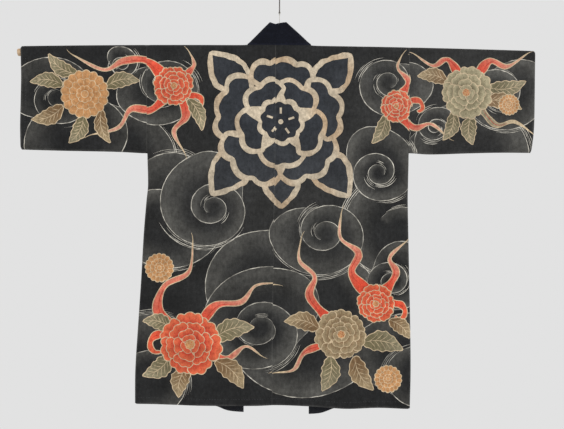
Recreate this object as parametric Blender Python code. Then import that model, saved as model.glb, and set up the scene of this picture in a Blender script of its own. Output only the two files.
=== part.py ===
"""A Japanese work coat of dyed cotton, hung flat on a wooden rod by a thread and a wire hook.

Metres, +Z up. The coat shows its back towards -Y, its sleeves run along X, and the origin is the
centre of the hook's eye. Every cloth piece is a thin wall on one shared shape: two layers that hang
over the rod, joined along the shoulders, the sleeve bottoms and the side seams, and open at the
neck, the front, the hem and the cuffs. A point of a layer is given by its place (x, z) on the
flat coat and by its side, the back or the front.
"""

import math

import bpy
from mathutils import Vector

# Driving dimensions

CLOTH = 0.0016                # one layer of thick cotton
BAND_THICK = 0.0028           # the collar band, cloth folded double
SEAM_GAP = 0.0003             # clearance left between pieces that are sewn together

ROD_RADIUS = 0.0093
ROD_LEFT_END = -0.6520
ROD_RIGHT_END = 0.6120
ROD_END_DROP = 0.0035         # how far the rod's ends sink below the line of the shoulders

SHOULDER_Z = -0.1312          # top of the shoulder fold at the middle, in the wall's middle
SHOULDER_TILT = 0.0062        # the right cuff hangs this much lower, the left one this much higher
SHOULDER_BOW = 0.0077         # both cuffs hang this much lower, as the rod bends
HALF_SPAN = 0.635             # from the thread to a cuff

NECK_CENTRE = -0.0010
NECK_HALF = 0.0784            # from the middle of the collar to the neck point
NECK_EASE = 0.0040            # how softly the shoulder line turns up into the collar's fold
BAND_WIDTH = 0.0550
BAND_DIP = 0.0040             # sag of the collar's top edge between its two folds

UNDERARM_Z = -0.3985
ARMHOLE_LEFT = -0.3296
ARMHOLE_RIGHT = 0.3222
EDGE_ROUND = 0.0080           # reach of the round turn at a side seam and at a sleeve's bottom
HEM_Z = -1.0300               # level at which the hem's rows end, before its own slant

FOLD_STEPS = 4                # facets from the top of a fold to its straight side
EDGE_STEPS = 3                # facets in half of a side seam's turn
PANEL_COLUMNS = 5             # columns between a side seam's turn and the neck point
SEAM_ROUNDS = 6               # rounds in which a row settles on a slanting seam
FACET = math.pi / 2 / FOLD_STEPS
FOLD_RADIUS = (ROD_RADIUS + SEAM_GAP) / math.cos(FACET / 2) + CLOTH / 2

THREAD_RADIUS = 0.0006
LOOP_OPENING = 70             # degrees of the rod's loop that the cloth presses flat
HOOK_WIRE = 0.0015            # radius of the hook's wire
HOOK_EYE = 0.0060             # radius of its eye, at the wire's middle
HOOK_BEND = 0.0050            # radius of its open bend
HOOK_BEND_Z = -0.0490         # the wire's middle at the bottom of the bend

BACK, FRONT = -1, 1

# Outline of the coat. Columns: height, left edge, centre-back seam, right edge
BODY_SECTIONS = (
    (-0.1310, -0.3296, -0.0099, 0.3222),
    (-0.3985, -0.3296, -0.0112, 0.3222),
    (-0.4790, -0.3281, -0.0124, 0.3207),
    (-0.5160, -0.3318, -0.0132, 0.3200),
    (-0.6000, -0.3388, -0.0145, 0.3214),
    (-0.7020, -0.3446, -0.0160, 0.3234),
    (-0.8130, -0.3519, -0.0172, 0.3257),
    (-0.9380, -0.3598, -0.0181, 0.3270),
    (-1.0300, -0.3606, -0.0186, 0.3250),
)

# Back hem. Columns: x, height
BACK_HEM = (
    (-0.3610, -1.0215),
    (-0.1720, -1.0262),
    (-0.0610, -1.0272),
    (-0.0040, -1.0247),
    (0.0800, -1.0275),
    (0.1650, -1.0345),
    (0.2490, -1.0314),
    (0.3250, -1.0340),
)

# Front hem, which hangs lower towards the collar band. Columns: x, height
FRONT_HEM = (
    (-0.3610, -1.0215),
    (-0.2500, -1.0232),
    (-0.1570, -1.0290),
    (-0.0890, -1.0440),
    (0.0000, -1.0500),
    (0.0720, -1.0448),
    (0.1450, -1.0325),
    (0.2400, -1.0312),
    (0.3250, -1.0340),
)

# Seam between the front panels and the collar band. Columns: height, left seam, right seam
BAND_SEAM = (
    (-0.1312, -0.0794, 0.0774),
    (-0.1700, -0.0800, 0.0778),
    (-0.3000, -0.0885, 0.0845),
    (-0.5000, -0.1040, 0.0965),
    (-0.7500, -0.1235, 0.1115),
    (-1.0300, -0.1450, 0.1280),
)

# Sleeve bottoms. Columns: x, height of the fold
SLEEVE_BOTTOM = (
    (-0.6430, -0.3892),
    (-0.5500, -0.3920),
    (-0.4000, -0.3952),
    (-0.3296, -0.3985),
    (0.3222, -0.3985),
    (0.3730, -0.4015),
    (0.4720, -0.3988),
    (0.5500, -0.3972),
    (0.6340, -0.3978),
)

# Cuffs. Columns: height, left cuff, right cuff
CUFFS = (
    (-0.1312, -0.6425, 0.6345),
    (-0.2000, -0.6408, 0.6335),
    (-0.2600, -0.6418, 0.6330),
    (-0.3300, -0.6436, 0.6318),
    (-0.3650, -0.6432, 0.6290),
    (-0.3980, -0.6420, 0.6240),
)

# Half the room between the layers, below the turn over the rod. Columns: height, half depth
LAYER_DEPTH = (
    (-0.0700, 0.0078),
    (-0.1312, FOLD_RADIUS),
    (-0.1600, FOLD_RADIUS),
    (-0.3000, 0.0096),
    (-0.5500, 0.0090),
    (-1.0500, 0.0098),
)

# Waves that both layers share. Columns: x, half width, height where it starts, depth at the hem
DRAPE_WAVES = (
    (-0.610, 0.060, -0.200, 0.0030),
    (-0.470, 0.090, -0.240, -0.0020),
    (-0.300, 0.080, -0.420, 0.0026),
    (-0.190, 0.075, -0.380, -0.0024),
    (-0.070, 0.070, -0.520, 0.0020),
    (0.060, 0.080, -0.450, -0.0024),
    (0.180, 0.080, -0.380, 0.0026),
    (0.290, 0.070, -0.480, -0.0020),
    (0.440, 0.090, -0.240, 0.0022),
    (0.600, 0.060, -0.220, -0.0032),
)

# Soft folds of one layer. Columns: side, x at the top, x at the bottom, top, bottom, half width,
# depth away from the other layer
LAYER_FOLDS = (
    (BACK, -0.250, -0.275, -0.360, -0.980, 0.040, 0.0022),
    (BACK, -0.120, -0.150, -0.300, -1.020, 0.050, -0.0018),
    (BACK, 0.095, 0.110, -0.260, -0.960, 0.045, 0.0020),
    (BACK, 0.235, 0.255, -0.330, -1.000, 0.045, -0.0016),
    (BACK, -0.420, -0.400, -0.160, -0.370, 0.040, 0.0014),
    (BACK, 0.420, 0.395, -0.160, -0.370, 0.040, 0.0014),
    (FRONT, -0.240, -0.265, -0.320, -1.000, 0.045, 0.0022),
    (FRONT, 0.215, 0.240, -0.300, -1.010, 0.045, 0.0022),
    (FRONT, -0.520, -0.500, -0.160, -0.360, 0.045, 0.0014),
    (FRONT, 0.510, 0.490, -0.160, -0.370, 0.045, 0.0014),
)


def clear_scene():
    for thing in list(bpy.data.objects):
        bpy.data.objects.remove(thing, do_unlink=True)


def make_material(name, colour, roughness, metallic=0.0):
    material = bpy.data.materials.new(name)
    material.use_nodes = True
    shader = material.node_tree.nodes["Principled BSDF"]
    shader.inputs["Base Color"].default_value = (*colour, 1.0)
    shader.inputs["Roughness"].default_value = roughness
    shader.inputs["Metallic"].default_value = metallic
    material.diffuse_color = (*colour, 1.0)
    return material


# Reading the tables

def read_table(rows, at, column):
    """A smooth curve through one column of a table, read at a value of the first column."""
    ordered = sorted(rows)
    places = [row[0] for row in ordered]
    values = [row[column] for row in ordered]
    at = min(max(at, places[0]), places[-1])
    low = max(i for i in range(len(places) - 1) if places[i] <= at)
    slopes = []
    for i in (low, low + 1):
        before = max(i - 1, 0)
        after = min(i + 1, len(places) - 1)
        slopes.append((values[after] - values[before]) / (places[after] - places[before]))
    width = places[low + 1] - places[low]
    t = (at - places[low]) / width
    rise = t * t * (3 - 2 * t)
    return (values[low] * (1 - rise) + values[low + 1] * rise
            + width * slopes[0] * t * (1 - t) ** 2 - width * slopes[1] * t * t * (1 - t))


def bell(t):
    """One smooth hump, 1 at t = 0 and 0 from t = 1 outwards."""
    return (1 - min(t * t, 1)) ** 2


def ease(t):
    t = min(max(t, 0), 1)
    return t * t * (3 - 2 * t)


def mix(a, b, t):
    return a + (b - a) * t


# The shared shape of the two layers

def shoulder_z(x):
    along = x / HALF_SPAN
    return SHOULDER_Z - SHOULDER_TILT * along - SHOULDER_BOW * along * along


def soft_ramp(t):
    """0 well below zero, t well above it, with a soft turn between."""
    return (math.sqrt(t * t + NECK_EASE ** 2) + t) / 2


def inside_neck(x):
    return NECK_HALF - abs(x - NECK_CENTRE)


def roof_z(x):
    """Top of the fold where back and front are one cloth: the shoulder, then the collar's fold."""
    return shoulder_z(x) + soft_ramp(inside_neck(x))


def neckline_z(x):
    """The back neck seam, where the collar band is sewn on."""
    return shoulder_z(x) + soft_ramp(-inside_neck(x))


def fold_drop(step):
    """Height lost from the roof to a facet's end, round the rod."""
    return FOLD_RADIUS * (1 - math.cos(step * FACET))


def edge_x(z, left):
    """Middle of the cloth at the side seam's turn."""
    if left:
        return read_table(BODY_SECTIONS, z, 1) + CLOTH / 2 + SEAM_GAP / 2
    return read_table(BODY_SECTIONS, z, 3) - CLOTH / 2 - SEAM_GAP / 2


def edge_distance(x, z):
    """Distance to the nearest side seam or sleeve bottom, where the two layers meet."""
    left = x < NECK_CENTRE
    armhole = ARMHOLE_LEFT if left else ARMHOLE_RIGHT
    if abs(x) > abs(armhole) and z > UNDERARM_Z - EDGE_ROUND:
        return z - read_table(SLEEVE_BOTTOM, x, 1)
    inwards = 1 if left else -1
    if z <= UNDERARM_Z:
        return inwards * (x - edge_x(z, left))
    across = max(inwards * (x - edge_x(UNDERARM_Z, left)), 0)
    return math.hypot(across, z - UNDERARM_Z)


def roundness(distance, reach):
    """Square of a quarter round's height: 0 at the fold, 1 from the reach on."""
    return 1 - (1 - min(distance / reach, 1)) ** 2


def closing(x, z):
    """0 where the layers meet, 1 where they hang freely."""
    return roundness(roof_z(x) - z, FOLD_RADIUS) * roundness(edge_distance(x, z), EDGE_ROUND)


def depth_squared(x, z):
    return read_table(LAYER_DEPTH, z, 1) ** 2 * closing(x, z)


def middle_y(x, z, side):
    """Middle line between the layers, with the waves and this layer's own folds."""
    y = 0
    for centre, half_width, start, depth in DRAPE_WAVES:
        y += depth * bell((x - centre) / half_width) * ease((start - z) / abs(HEM_Z - start))
    own = 0
    for fold_side, top_x, bottom_x, top, bottom, half_width, depth in LAYER_FOLDS:
        if fold_side == side:
            down = (top - z) / (top - bottom)
            centre = mix(top_x, bottom_x, down)
            length = ease(4 * down) * ease(4 * (1.15 - down))
            own += side * depth * bell((x - centre) / half_width) * length
    return y + own * closing(x, z)


def layer_point(x, z, side):
    """A point of a layer and the way its outer face looks there."""
    step = 1e-5
    depth = math.sqrt(max(depth_squared(x, z), 0))
    if depth < 1e-5:
        depth = 0
    middle = middle_y(x, z, side)
    slopes = []
    for dx, dz in ((step, 0), (0, step)):
        room = (depth_squared(x + dx, z + dz) - depth_squared(x - dx, z - dz)) / (2 * step)
        lean = (middle_y(x + dx, z + dz, side) - middle_y(x - dx, z - dz, side)) / (2 * step)
        slopes.append(-room - 2 * side * depth * lean)
    normal = Vector((slopes[0], 2 * side * depth, slopes[1])).normalized()
    return Vector((x, middle + side * depth, z)), normal


class ClothPiece:
    """Points and faces of a piece's middle surface, which then get the wall's thickness."""

    def __init__(self):
        self.points = []
        self.normals = []
        self.faces = []
        self.known = {}

    def point(self, x, z, side):
        place, normal = layer_point(x, z, side)
        key = tuple(round(value, 6) for value in place)
        if key not in self.known:
            self.known[key] = len(self.points)
            self.points.append(place)
            self.normals.append(normal)
        return self.known[key]

    def grid(self, rows):
        """Faces between rows of (x, z, side), each row as long as the next."""
        ids = [[self.point(*place) for place in row] for row in rows]
        for upper, lower in zip(ids, ids[1:]):
            for i in range(len(upper) - 1):
                corners = [upper[i], upper[i + 1], lower[i + 1], lower[i]]
                corners = [c for n, c in enumerate(corners) if c not in corners[:n]]
                if len(corners) > 2:
                    self.faces.append(self.facing_out(corners))

    def facing_out(self, corners):
        a, b, c = (self.points[i] for i in corners[:3])
        across = (b - a).cross(c - a)
        outwards = sum((self.normals[i] for i in corners), Vector())
        return corners if across.dot(outwards) > 0 else corners[::-1]

    def build(self, name, material, inner, outer):
        """Both faces of the wall, and a rim along every open edge."""
        count = len(self.points)
        vertices = [p + n * outer for p, n in zip(self.points, self.normals)]
        vertices += [p - n * inner for p, n in zip(self.points, self.normals)]
        faces = [tuple(face) for face in self.faces]
        faces += [tuple(i + count for i in reversed(face)) for face in self.faces]
        edges = {(a, b) for face in self.faces for a, b in zip(face, face[1:] + face[:1])}
        faces += [(b, a, a + count, b + count) for a, b in sorted(edges) if (b, a) not in edges]
        mesh = bpy.data.meshes.new(name)
        mesh.from_pydata(vertices, [], faces)
        mesh.update()
        mesh.shade_smooth()
        mesh.set_sharp_from_angle(angle=math.radians(40))
        mesh.materials.append(material)
        cloth = bpy.data.objects.new(name, mesh)
        bpy.context.collection.objects.link(cloth)
        return cloth


# Rows and columns of the panels

def edge_steps():
    """Distances from a side seam at which its round turn has a facet's end."""
    return [EDGE_ROUND * (1 - math.cos(k * math.pi / 2 / EDGE_STEPS)) for k in range(EDGE_STEPS + 1)]


def steps_between(start, end, count):
    """Places strictly between start and end."""
    return [mix(start, end, (k + 1) / (count + 1)) for k in range(count)]


def body_levels(top, hem):
    """Heights of a panel's rows, from the shoulder or neckline down to the hem."""
    levels = [top - fold_drop(k) for k in range(FOLD_STEPS + 1)]
    armhole_end = UNDERARM_Z + EDGE_ROUND
    levels += steps_between(levels[-1], armhole_end, 5)
    levels += [UNDERARM_Z + step for step in reversed(edge_steps())]
    levels += steps_between(UNDERARM_Z, hem, 9)
    levels.append(hem)
    return levels


def side_columns(level, left):
    """Places (x, z) of a row in the side seam's turn, from the seam inwards."""
    inwards = 1 if left else -1
    armhole = ARMHOLE_LEFT if left else ARMHOLE_RIGHT
    hem = read_table(BACK_HEM, edge_x(HEM_Z, left), 1)
    z = body_levels(roof_z(armhole), hem)[level]
    start = edge_x(min(z, UNDERARM_Z), left)
    columns = [start + inwards * step for step in edge_steps()]
    if level < UNDERARM_LEVEL:
        columns[0] = armhole + inwards * SEAM_GAP / 2
    if level == 0:
        return [(x, roof_z(x)) for x in columns]
    return [(x, z) for x in columns]


def band_x(z, across, left):
    """x on a front band, at a distance across it from its seam."""
    inwards = 1 if left else -1
    return read_table(BAND_SEAM, z, 1 if left else 2) + inwards * across


def band_place(level, left, across):
    """Place (x, z) of a row on a front band, or just outside its seam where across is negative."""
    inwards = 1 if left else -1
    x = NECK_CENTRE - inwards * (NECK_HALF - across)
    top = roof_z(x)
    for _ in range(SEAM_ROUNDS):
        z = body_levels(top, read_table(FRONT_HEM, x, 1))[level]
        x = band_x(z, across, left)
    return x, z


def centre_place(level, left):
    """Place (x, z) of a row on the centre-back seam."""
    inwards = 1 if left else -1
    x = BODY_SECTIONS[0][2]
    for _ in range(SEAM_ROUNDS):
        top = neckline_z(x) - SEAM_GAP / 2
        z = body_levels(top, read_table(BACK_HEM, x, 1))[level]
        x = read_table(BODY_SECTIONS, z, 2)
    return x - inwards * SEAM_GAP / 2, z


def body_row(level, left, side):
    """One row of a body panel, given as (x, z, side) from the side seam inwards."""
    inwards = 1 if left else -1
    neck_x = NECK_CENTRE - inwards * (NECK_HALF + SEAM_GAP / 2)

    def height(x):
        hem = read_table(BACK_HEM if side == BACK else FRONT_HEM, x, 1)
        inside = side == BACK and inside_neck(x) > 0
        top = neckline_z(x) - SEAM_GAP / 2 if inside else roof_z(x)
        return body_levels(top, hem)[level]

    places = side_columns(level, left)
    start = places[-1][0]
    if side == FRONT:
        end = band_place(level, left, -SEAM_GAP / 2)
        places += [(x, height(x)) for x in steps_between(start, end[0], PANEL_COLUMNS)]
    else:
        end = centre_place(level, left)
        neck_steps = [neck_x + inwards * fold_drop(k) for k in range(FOLD_STEPS + 1)]
        columns = steps_between(start, neck_x, PANEL_COLUMNS) + neck_steps
        columns += steps_between(neck_steps[-1], end[0], 2)
        places += [(x, height(x)) for x in columns]
    return [(x, z, side) for x, z in places + [end]]


LEVELS = len(body_levels(SHOULDER_Z, HEM_Z))
UNDERARM_LEVEL = FOLD_STEPS + 1 + 5 + EDGE_STEPS


def make_body(name, left, material):
    """Half of the coat: a strip from the back hem over the shoulder to the front hem."""
    piece = ClothPiece()
    for side in (BACK, FRONT):
        piece.grid([body_row(level, left, side) for level in range(LEVELS)])
    return piece.build(name, material, CLOTH / 2, CLOTH / 2)


def make_sleeve(name, left, material):
    """A box sleeve: a tube laid over the rod, open at the cuff and at the armhole."""
    outwards = -1 if left else 1
    seam_x = (ARMHOLE_LEFT if left else ARMHOLE_RIGHT) + outwards * SEAM_GAP / 2
    columns = 11
    piece = ClothPiece()
    for side in (BACK, FRONT):
        rows = []
        for along in range(columns):
            share = along / (columns - 1)
            cuff = read_table(CUFFS, SHOULDER_Z, 1 if left else 2)
            x = mix(seam_x, cuff, share)
            top = roof_z(x)
            bottom = read_table(SLEEVE_BOTTOM, x, 1)
            levels = [top - fold_drop(k) for k in range(FOLD_STEPS + 1)]
            levels += steps_between(levels[-1], bottom + EDGE_ROUND, 5)
            levels += [bottom + step for step in reversed(edge_steps())]
            row = []
            for z in levels:
                cuff = read_table(CUFFS, z, 1 if left else 2)
                row.append((mix(seam_x, cuff, share), z, side))
            row[0] = (row[0][0], roof_z(row[0][0]), side)
            row[-1] = (row[-1][0], read_table(SLEEVE_BOTTOM, row[-1][0], 1), side)
            rows.append(row)
        piece.grid(rows)
    return piece.build(name, material, CLOTH / 2, CLOTH / 2)


def make_collar(name, material):
    """One doubled strip: up the left front, round the neck, and down the right front."""
    across_steps = 4
    piece = ClothPiece()
    lines = []
    for k in range(across_steps + 1):
        across = mix(SEAM_GAP / 2, BAND_WIDTH, k / across_steps)
        fronts = []
        turns = []
        for left in (True, False):
            inwards = 1 if left else -1
            neck_x = NECK_CENTRE - inwards * (NECK_HALF - across)
            fronts.append([(*band_place(level, left, across), FRONT) for level in range(LEVELS)])
            turns.append([neck_x + inwards * fold_drop(n) for n in range(1, FOLD_STEPS + 1)])
        middle = steps_between(turns[0][-1], turns[1][-1], 3)
        back_x = turns[0] + middle + turns[1][::-1]
        back = [(x, neckline_z(x) + top_across(x, across), BACK) for x in back_x]
        lines.append(fronts[0][::-1] + back + fronts[1])
    piece.grid(lines)
    return piece.build(name, material, CLOTH / 2, BAND_THICK - CLOTH / 2)


def top_across(x, across):
    """Width across the band behind the neck, with the sag of its top edge."""
    half_gap = NECK_HALF - BAND_WIDTH
    share = (x - NECK_CENTRE + half_gap) / (2 * half_gap)
    sag = 27 / 4 * share * (1 - share) ** 2 if 0 < share < 1 else 0
    return across * (1 - sag * BAND_DIP / BAND_WIDTH)


# Rod, hook and thread

def make_tube(name, route, radius, resolution, material, closed=False):
    curve = bpy.data.curves.new(name, "CURVE")
    curve.dimensions = "3D"
    curve.bevel_depth = radius
    curve.bevel_resolution = resolution
    curve.use_fill_caps = True
    spline = curve.splines.new("POLY")
    spline.points.add(len(route) - 1)
    for point, place in zip(spline.points, route):
        point.co = (*place, 1.0)
    spline.use_cyclic_u = closed
    spline.use_smooth = True
    curve.materials.append(material)
    tube = bpy.data.objects.new(name, curve)
    bpy.context.collection.objects.link(tube)
    return tube


def rod_z(x):
    """Middle of the rod, just under the cloth that lies on it."""
    return shoulder_z(x) - FOLD_RADIUS - ROD_END_DROP * (x / HALF_SPAN) ** 4


def make_rod(name, material):
    count = 24
    places = [mix(ROD_LEFT_END, ROD_RIGHT_END, k / count) for k in range(count + 1)]
    return make_tube(name, [(x, 0, rod_z(x)) for x in places], ROD_RADIUS, 6, material)


def hook_route():
    """Round the eye, down the shank and round the open bend, all in the YZ plane."""
    eye_turn = math.radians(300)
    shank_side = HOOK_BEND
    route = []
    for k in range(15):
        turn = math.radians(-90) + eye_turn * (k / 14 - 1)
        route.append((0, HOOK_EYE * math.cos(turn), HOOK_EYE * math.sin(turn)))
    top = -HOOK_EYE
    bottom = HOOK_BEND_Z + HOOK_BEND
    for k in range(1, 8):
        share = k / 8
        route.append((0, shank_side * ease(share), mix(top, bottom, share)))
    for k in range(13):
        turn = -math.radians(205) * k / 12
        route.append((0, HOOK_BEND * math.cos(turn), bottom + HOOK_BEND * math.sin(turn)))
    return route


def ring_route(centre, radius, across_x, start=0, sweep=360):
    """A round of thread about the X axis or the Y axis, whole or open, angles in degrees."""
    steps = 16
    count = steps if sweep == 360 else steps + 1
    route = []
    for k in range(count):
        turn = math.radians(start + sweep * k / steps)
        side = radius * math.cos(turn)
        offset = Vector((0, side, 0)) if across_x else Vector((side, 0, 0))
        route.append(centre + offset + Vector((0, 0, radius * math.sin(turn))))
    return route


def make_hanging(metal, thread):
    """The hook, the thread's loops on hook and rod, and the taut thread between them.

    The loop on the rod is open at the back, where the cloth presses on the rod.
    """
    make_tube("hook", hook_route(), HOOK_WIRE, 2, metal)
    hook_ring = (HOOK_WIRE + SEAM_GAP) / math.cos(math.pi / 16) + THREAD_RADIUS
    rod_ring = (ROD_RADIUS + SEAM_GAP) / math.cos(math.pi / 16) + THREAD_RADIUS
    hook_bottom = Vector((0, 0, HOOK_BEND_Z))
    rod_middle = Vector((0, 0, rod_z(0)))
    round_hook = ring_route(hook_bottom, hook_ring, False)
    round_rod = ring_route(rod_middle, rod_ring, True, 180 + LOOP_OPENING / 2, 360 - LOOP_OPENING)
    make_tube("hook_loop", round_hook, THREAD_RADIUS, 2, thread, closed=True)
    make_tube("rod_loop", round_rod, THREAD_RADIUS, 2, thread)
    top = HOOK_BEND_Z - hook_ring - THREAD_RADIUS - SEAM_GAP
    bottom = rod_middle.z + rod_ring + THREAD_RADIUS + SEAM_GAP
    count = 24
    route = [(0, 0, mix(top, bottom, k / count)) for k in range(count + 1)]
    make_tube("hanging_thread", route, THREAD_RADIUS, 2, thread)


def build():
    clear_scene()
    dyed = make_material("dyed_cotton", (0.035, 0.036, 0.038), 0.92)
    band = make_material("navy_cotton", (0.012, 0.014, 0.026), 0.9)
    wood = make_material("pale_wood", (0.60, 0.45, 0.30), 0.55)
    metal = make_material("dark_steel", (0.12, 0.12, 0.12), 0.4, 0.9)
    thread = make_material("pale_thread", (0.62, 0.60, 0.56), 0.8)
    make_body("body_left", True, dyed)
    make_body("body_right", False, dyed)
    make_sleeve("sleeve_left", True, dyed)
    make_sleeve("sleeve_right", False, dyed)
    make_collar("collar", band)
    make_rod("rod", wood)
    make_hanging(metal, thread)


build()
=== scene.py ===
# %% [markdown]
# A hand-dyed Japanese work coat, hung flat on a wooden rod
#
# The coat is made of narrow loom-width strips: two for the body, which run from the back hem over
# the shoulders to the front hem, one for each sleeve, and a doubled band for the collar. This
# lesson first loads the solid model of the coat, which fixes every size and place, and then dresses
# it: cloth shells with a dyed pattern, seams, stitches, the wooden rod, the thread and the hook.

# %% Load the model
import math
from collections import namedtuple

import bpy
import numpy as np
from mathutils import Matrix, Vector
from mathutils.geometry import delaunay_2d_cdt


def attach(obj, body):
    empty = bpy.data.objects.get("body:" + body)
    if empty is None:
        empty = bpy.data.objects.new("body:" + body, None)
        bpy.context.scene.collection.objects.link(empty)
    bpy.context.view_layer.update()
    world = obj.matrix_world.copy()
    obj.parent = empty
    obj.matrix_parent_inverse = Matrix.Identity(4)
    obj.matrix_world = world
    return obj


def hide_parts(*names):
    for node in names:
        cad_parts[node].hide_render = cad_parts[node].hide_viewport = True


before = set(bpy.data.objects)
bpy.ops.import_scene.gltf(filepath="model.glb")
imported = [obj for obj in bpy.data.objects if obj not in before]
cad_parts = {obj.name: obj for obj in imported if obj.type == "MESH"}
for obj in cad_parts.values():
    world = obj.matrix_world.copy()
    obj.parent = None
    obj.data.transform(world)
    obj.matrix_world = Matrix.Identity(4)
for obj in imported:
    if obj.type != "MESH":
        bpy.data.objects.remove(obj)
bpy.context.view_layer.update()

print("nodes:", sorted(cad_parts))

# %% [markdown]
# Sizes
#
# The cloth hangs over the rod in two layers. The named sizes and short tables that shaped the
# solids are kept here, so that every shell lies on its solid; only the front hem has a few more
# rows, for the curved lower corners. All lengths are metres; x runs along the rod, z is up, and
# the coat's back looks towards -y.

# %% Sizes of the coat
CLOTH = 0.0016  # one layer of thick cotton
SEAM_GAP = 0.0003  # left between solids that are sewn together
ROD_RADIUS = 0.0093
SHOULDER_Z = -0.1312  # the shoulder fold at the middle
SHOULDER_TILT = 0.0062  # the right cuff hangs this much lower, the left one higher
SHOULDER_BOW = 0.0077  # both cuffs hang this much lower, as the rod bends
HALF_SPAN = 0.635  # from the thread to a cuff
NECK_CENTRE = -0.0010
NECK_HALF = 0.0784  # from the middle of the collar to the neck point
NECK_EASE = 0.0040  # how softly the shoulder line turns up into the collar
UNDERARM_Z = -0.3985
ARMHOLE_LEFT = -0.3296
ARMHOLE_RIGHT = 0.3222
EDGE_ROUND = 0.0080  # reach of the round turn at a side seam
HEM_Z = -1.0300  # level at which the tables of the hem end
FACET_COS = math.cos(math.pi / 16)  # in the solids, a facet's middle lies nearer by this
FOLD_RADIUS = (ROD_RADIUS + SEAM_GAP) / FACET_COS + CLOTH / 2
QUARTER = FOLD_RADIUS * math.pi / 2  # cloth that a quarter turn over the rod takes
LAP = 0.0002  # how far a strip reaches under its neighbour
BACK, FRONT = -1, 1
print("the turn over the rod takes", round(2 * QUARTER, 4), "m of cloth")

# %% Outlines of the coat
# Columns: height, left edge, centre-back seam, right edge
BODY_SECTIONS = (
    (-0.1310, -0.3296, -0.0099, 0.3222),
    (-0.3985, -0.3296, -0.0112, 0.3222),
    (-0.4790, -0.3281, -0.0124, 0.3207),
    (-0.5160, -0.3318, -0.0132, 0.3200),
    (-0.6000, -0.3388, -0.0145, 0.3214),
    (-0.7020, -0.3446, -0.0160, 0.3234),
    (-0.8130, -0.3519, -0.0172, 0.3257),
    (-0.9380, -0.3598, -0.0181, 0.3270),
    (-1.0300, -0.3606, -0.0186, 0.3250),
)
# Columns: x, height
BACK_HEM = (
    (-0.3610, -1.0215),
    (-0.1720, -1.0262),
    (-0.0610, -1.0272),
    (-0.0040, -1.0247),
    (0.0800, -1.0275),
    (0.1650, -1.0345),
    (0.2490, -1.0314),
    (0.3250, -1.0340),
)
FRONT_HEM = (
    (-0.3610, -1.0215),
    (-0.2500, -1.0232),
    (-0.1620, -1.0305),
    (-0.1300, -1.0425),
    (-0.0890, -1.0472),
    (0.0000, -1.0530),
    (0.0720, -1.0508),
    (0.1050, -1.0482),
    (0.1400, -1.0365),
    (0.1900, -1.0318),
    (0.2400, -1.0312),
    (0.3250, -1.0340),
)
SLEEVE_BOTTOM = (
    (-0.6430, -0.3892),
    (-0.5500, -0.3920),
    (-0.4000, -0.3952),
    (-0.3296, -0.3985),
    (0.3222, -0.3985),
    (0.3730, -0.4015),
    (0.4720, -0.3988),
    (0.5500, -0.3972),
    (0.6340, -0.3978),
)
# Columns: height, left, right
BAND_SEAM = (
    (-0.1312, -0.0794, 0.0774),
    (-0.1700, -0.0800, 0.0778),
    (-0.3000, -0.0885, 0.0845),
    (-0.5000, -0.1040, 0.0965),
    (-0.7500, -0.1235, 0.1115),
    (-1.0300, -0.1450, 0.1280),
)
CUFFS = (
    (-0.1312, -0.6425, 0.6345),
    (-0.2000, -0.6408, 0.6335),
    (-0.2600, -0.6418, 0.6330),
    (-0.3300, -0.6436, 0.6318),
    (-0.3650, -0.6432, 0.6290),
    (-0.3980, -0.6420, 0.6240),
)
# Columns: height, half the room between the layers
LAYER_DEPTH = (
    (-0.0700, 0.0078),
    (-0.1312, FOLD_RADIUS),
    (-0.1600, FOLD_RADIUS),
    (-0.3000, 0.0096),
    (-0.5500, 0.0090),
    (-1.0500, 0.0098),
)
print("from cuff to cuff", round(CUFFS[0][2] - CUFFS[0][1], 3), "m")

# %% [markdown]
# Folds and creases
#
# Cloth that hangs is never quite flat. A cloth simulation would find folds of its own, but not the
# ones of this coat, so three short tables hold its relief: waves that both layers share, wide soft
# folds of one layer, and the small uneven creases that wear and storage leave. Each row is one
# fold.

# %% Tables of folds
# Columns: x, half width, height where it starts, depth at the hem
DRAPE_WAVES = (
    (-0.610, 0.060, -0.200, 0.0030),
    (-0.470, 0.090, -0.240, -0.0020),
    (-0.300, 0.080, -0.420, 0.0026),
    (-0.190, 0.075, -0.380, -0.0024),
    (-0.070, 0.070, -0.520, 0.0020),
    (0.060, 0.080, -0.450, -0.0024),
    (0.180, 0.080, -0.380, 0.0026),
    (0.290, 0.070, -0.480, -0.0020),
    (0.440, 0.090, -0.240, 0.0022),
    (0.600, 0.060, -0.220, -0.0032),
)
# Columns: side, x at the top, x at the bottom, top, bottom, half width, depth outwards
LAYER_FOLDS = (
    (BACK, -0.250, -0.275, -0.360, -0.980, 0.040, 0.0022),
    (BACK, -0.120, -0.150, -0.300, -1.020, 0.050, -0.0018),
    (BACK, 0.095, 0.110, -0.260, -0.960, 0.045, 0.0020),
    (BACK, 0.235, 0.255, -0.330, -1.000, 0.045, -0.0016),
    (BACK, -0.420, -0.400, -0.160, -0.370, 0.040, 0.0014),
    (BACK, 0.420, 0.395, -0.160, -0.370, 0.040, 0.0014),
    (FRONT, -0.240, -0.265, -0.320, -1.000, 0.045, 0.0022),
    (FRONT, 0.215, 0.240, -0.300, -1.010, 0.045, 0.0022),
    (FRONT, -0.520, -0.500, -0.160, -0.360, 0.045, 0.0014),
    (FRONT, 0.510, 0.490, -0.160, -0.370, 0.045, 0.0014),
)
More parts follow.
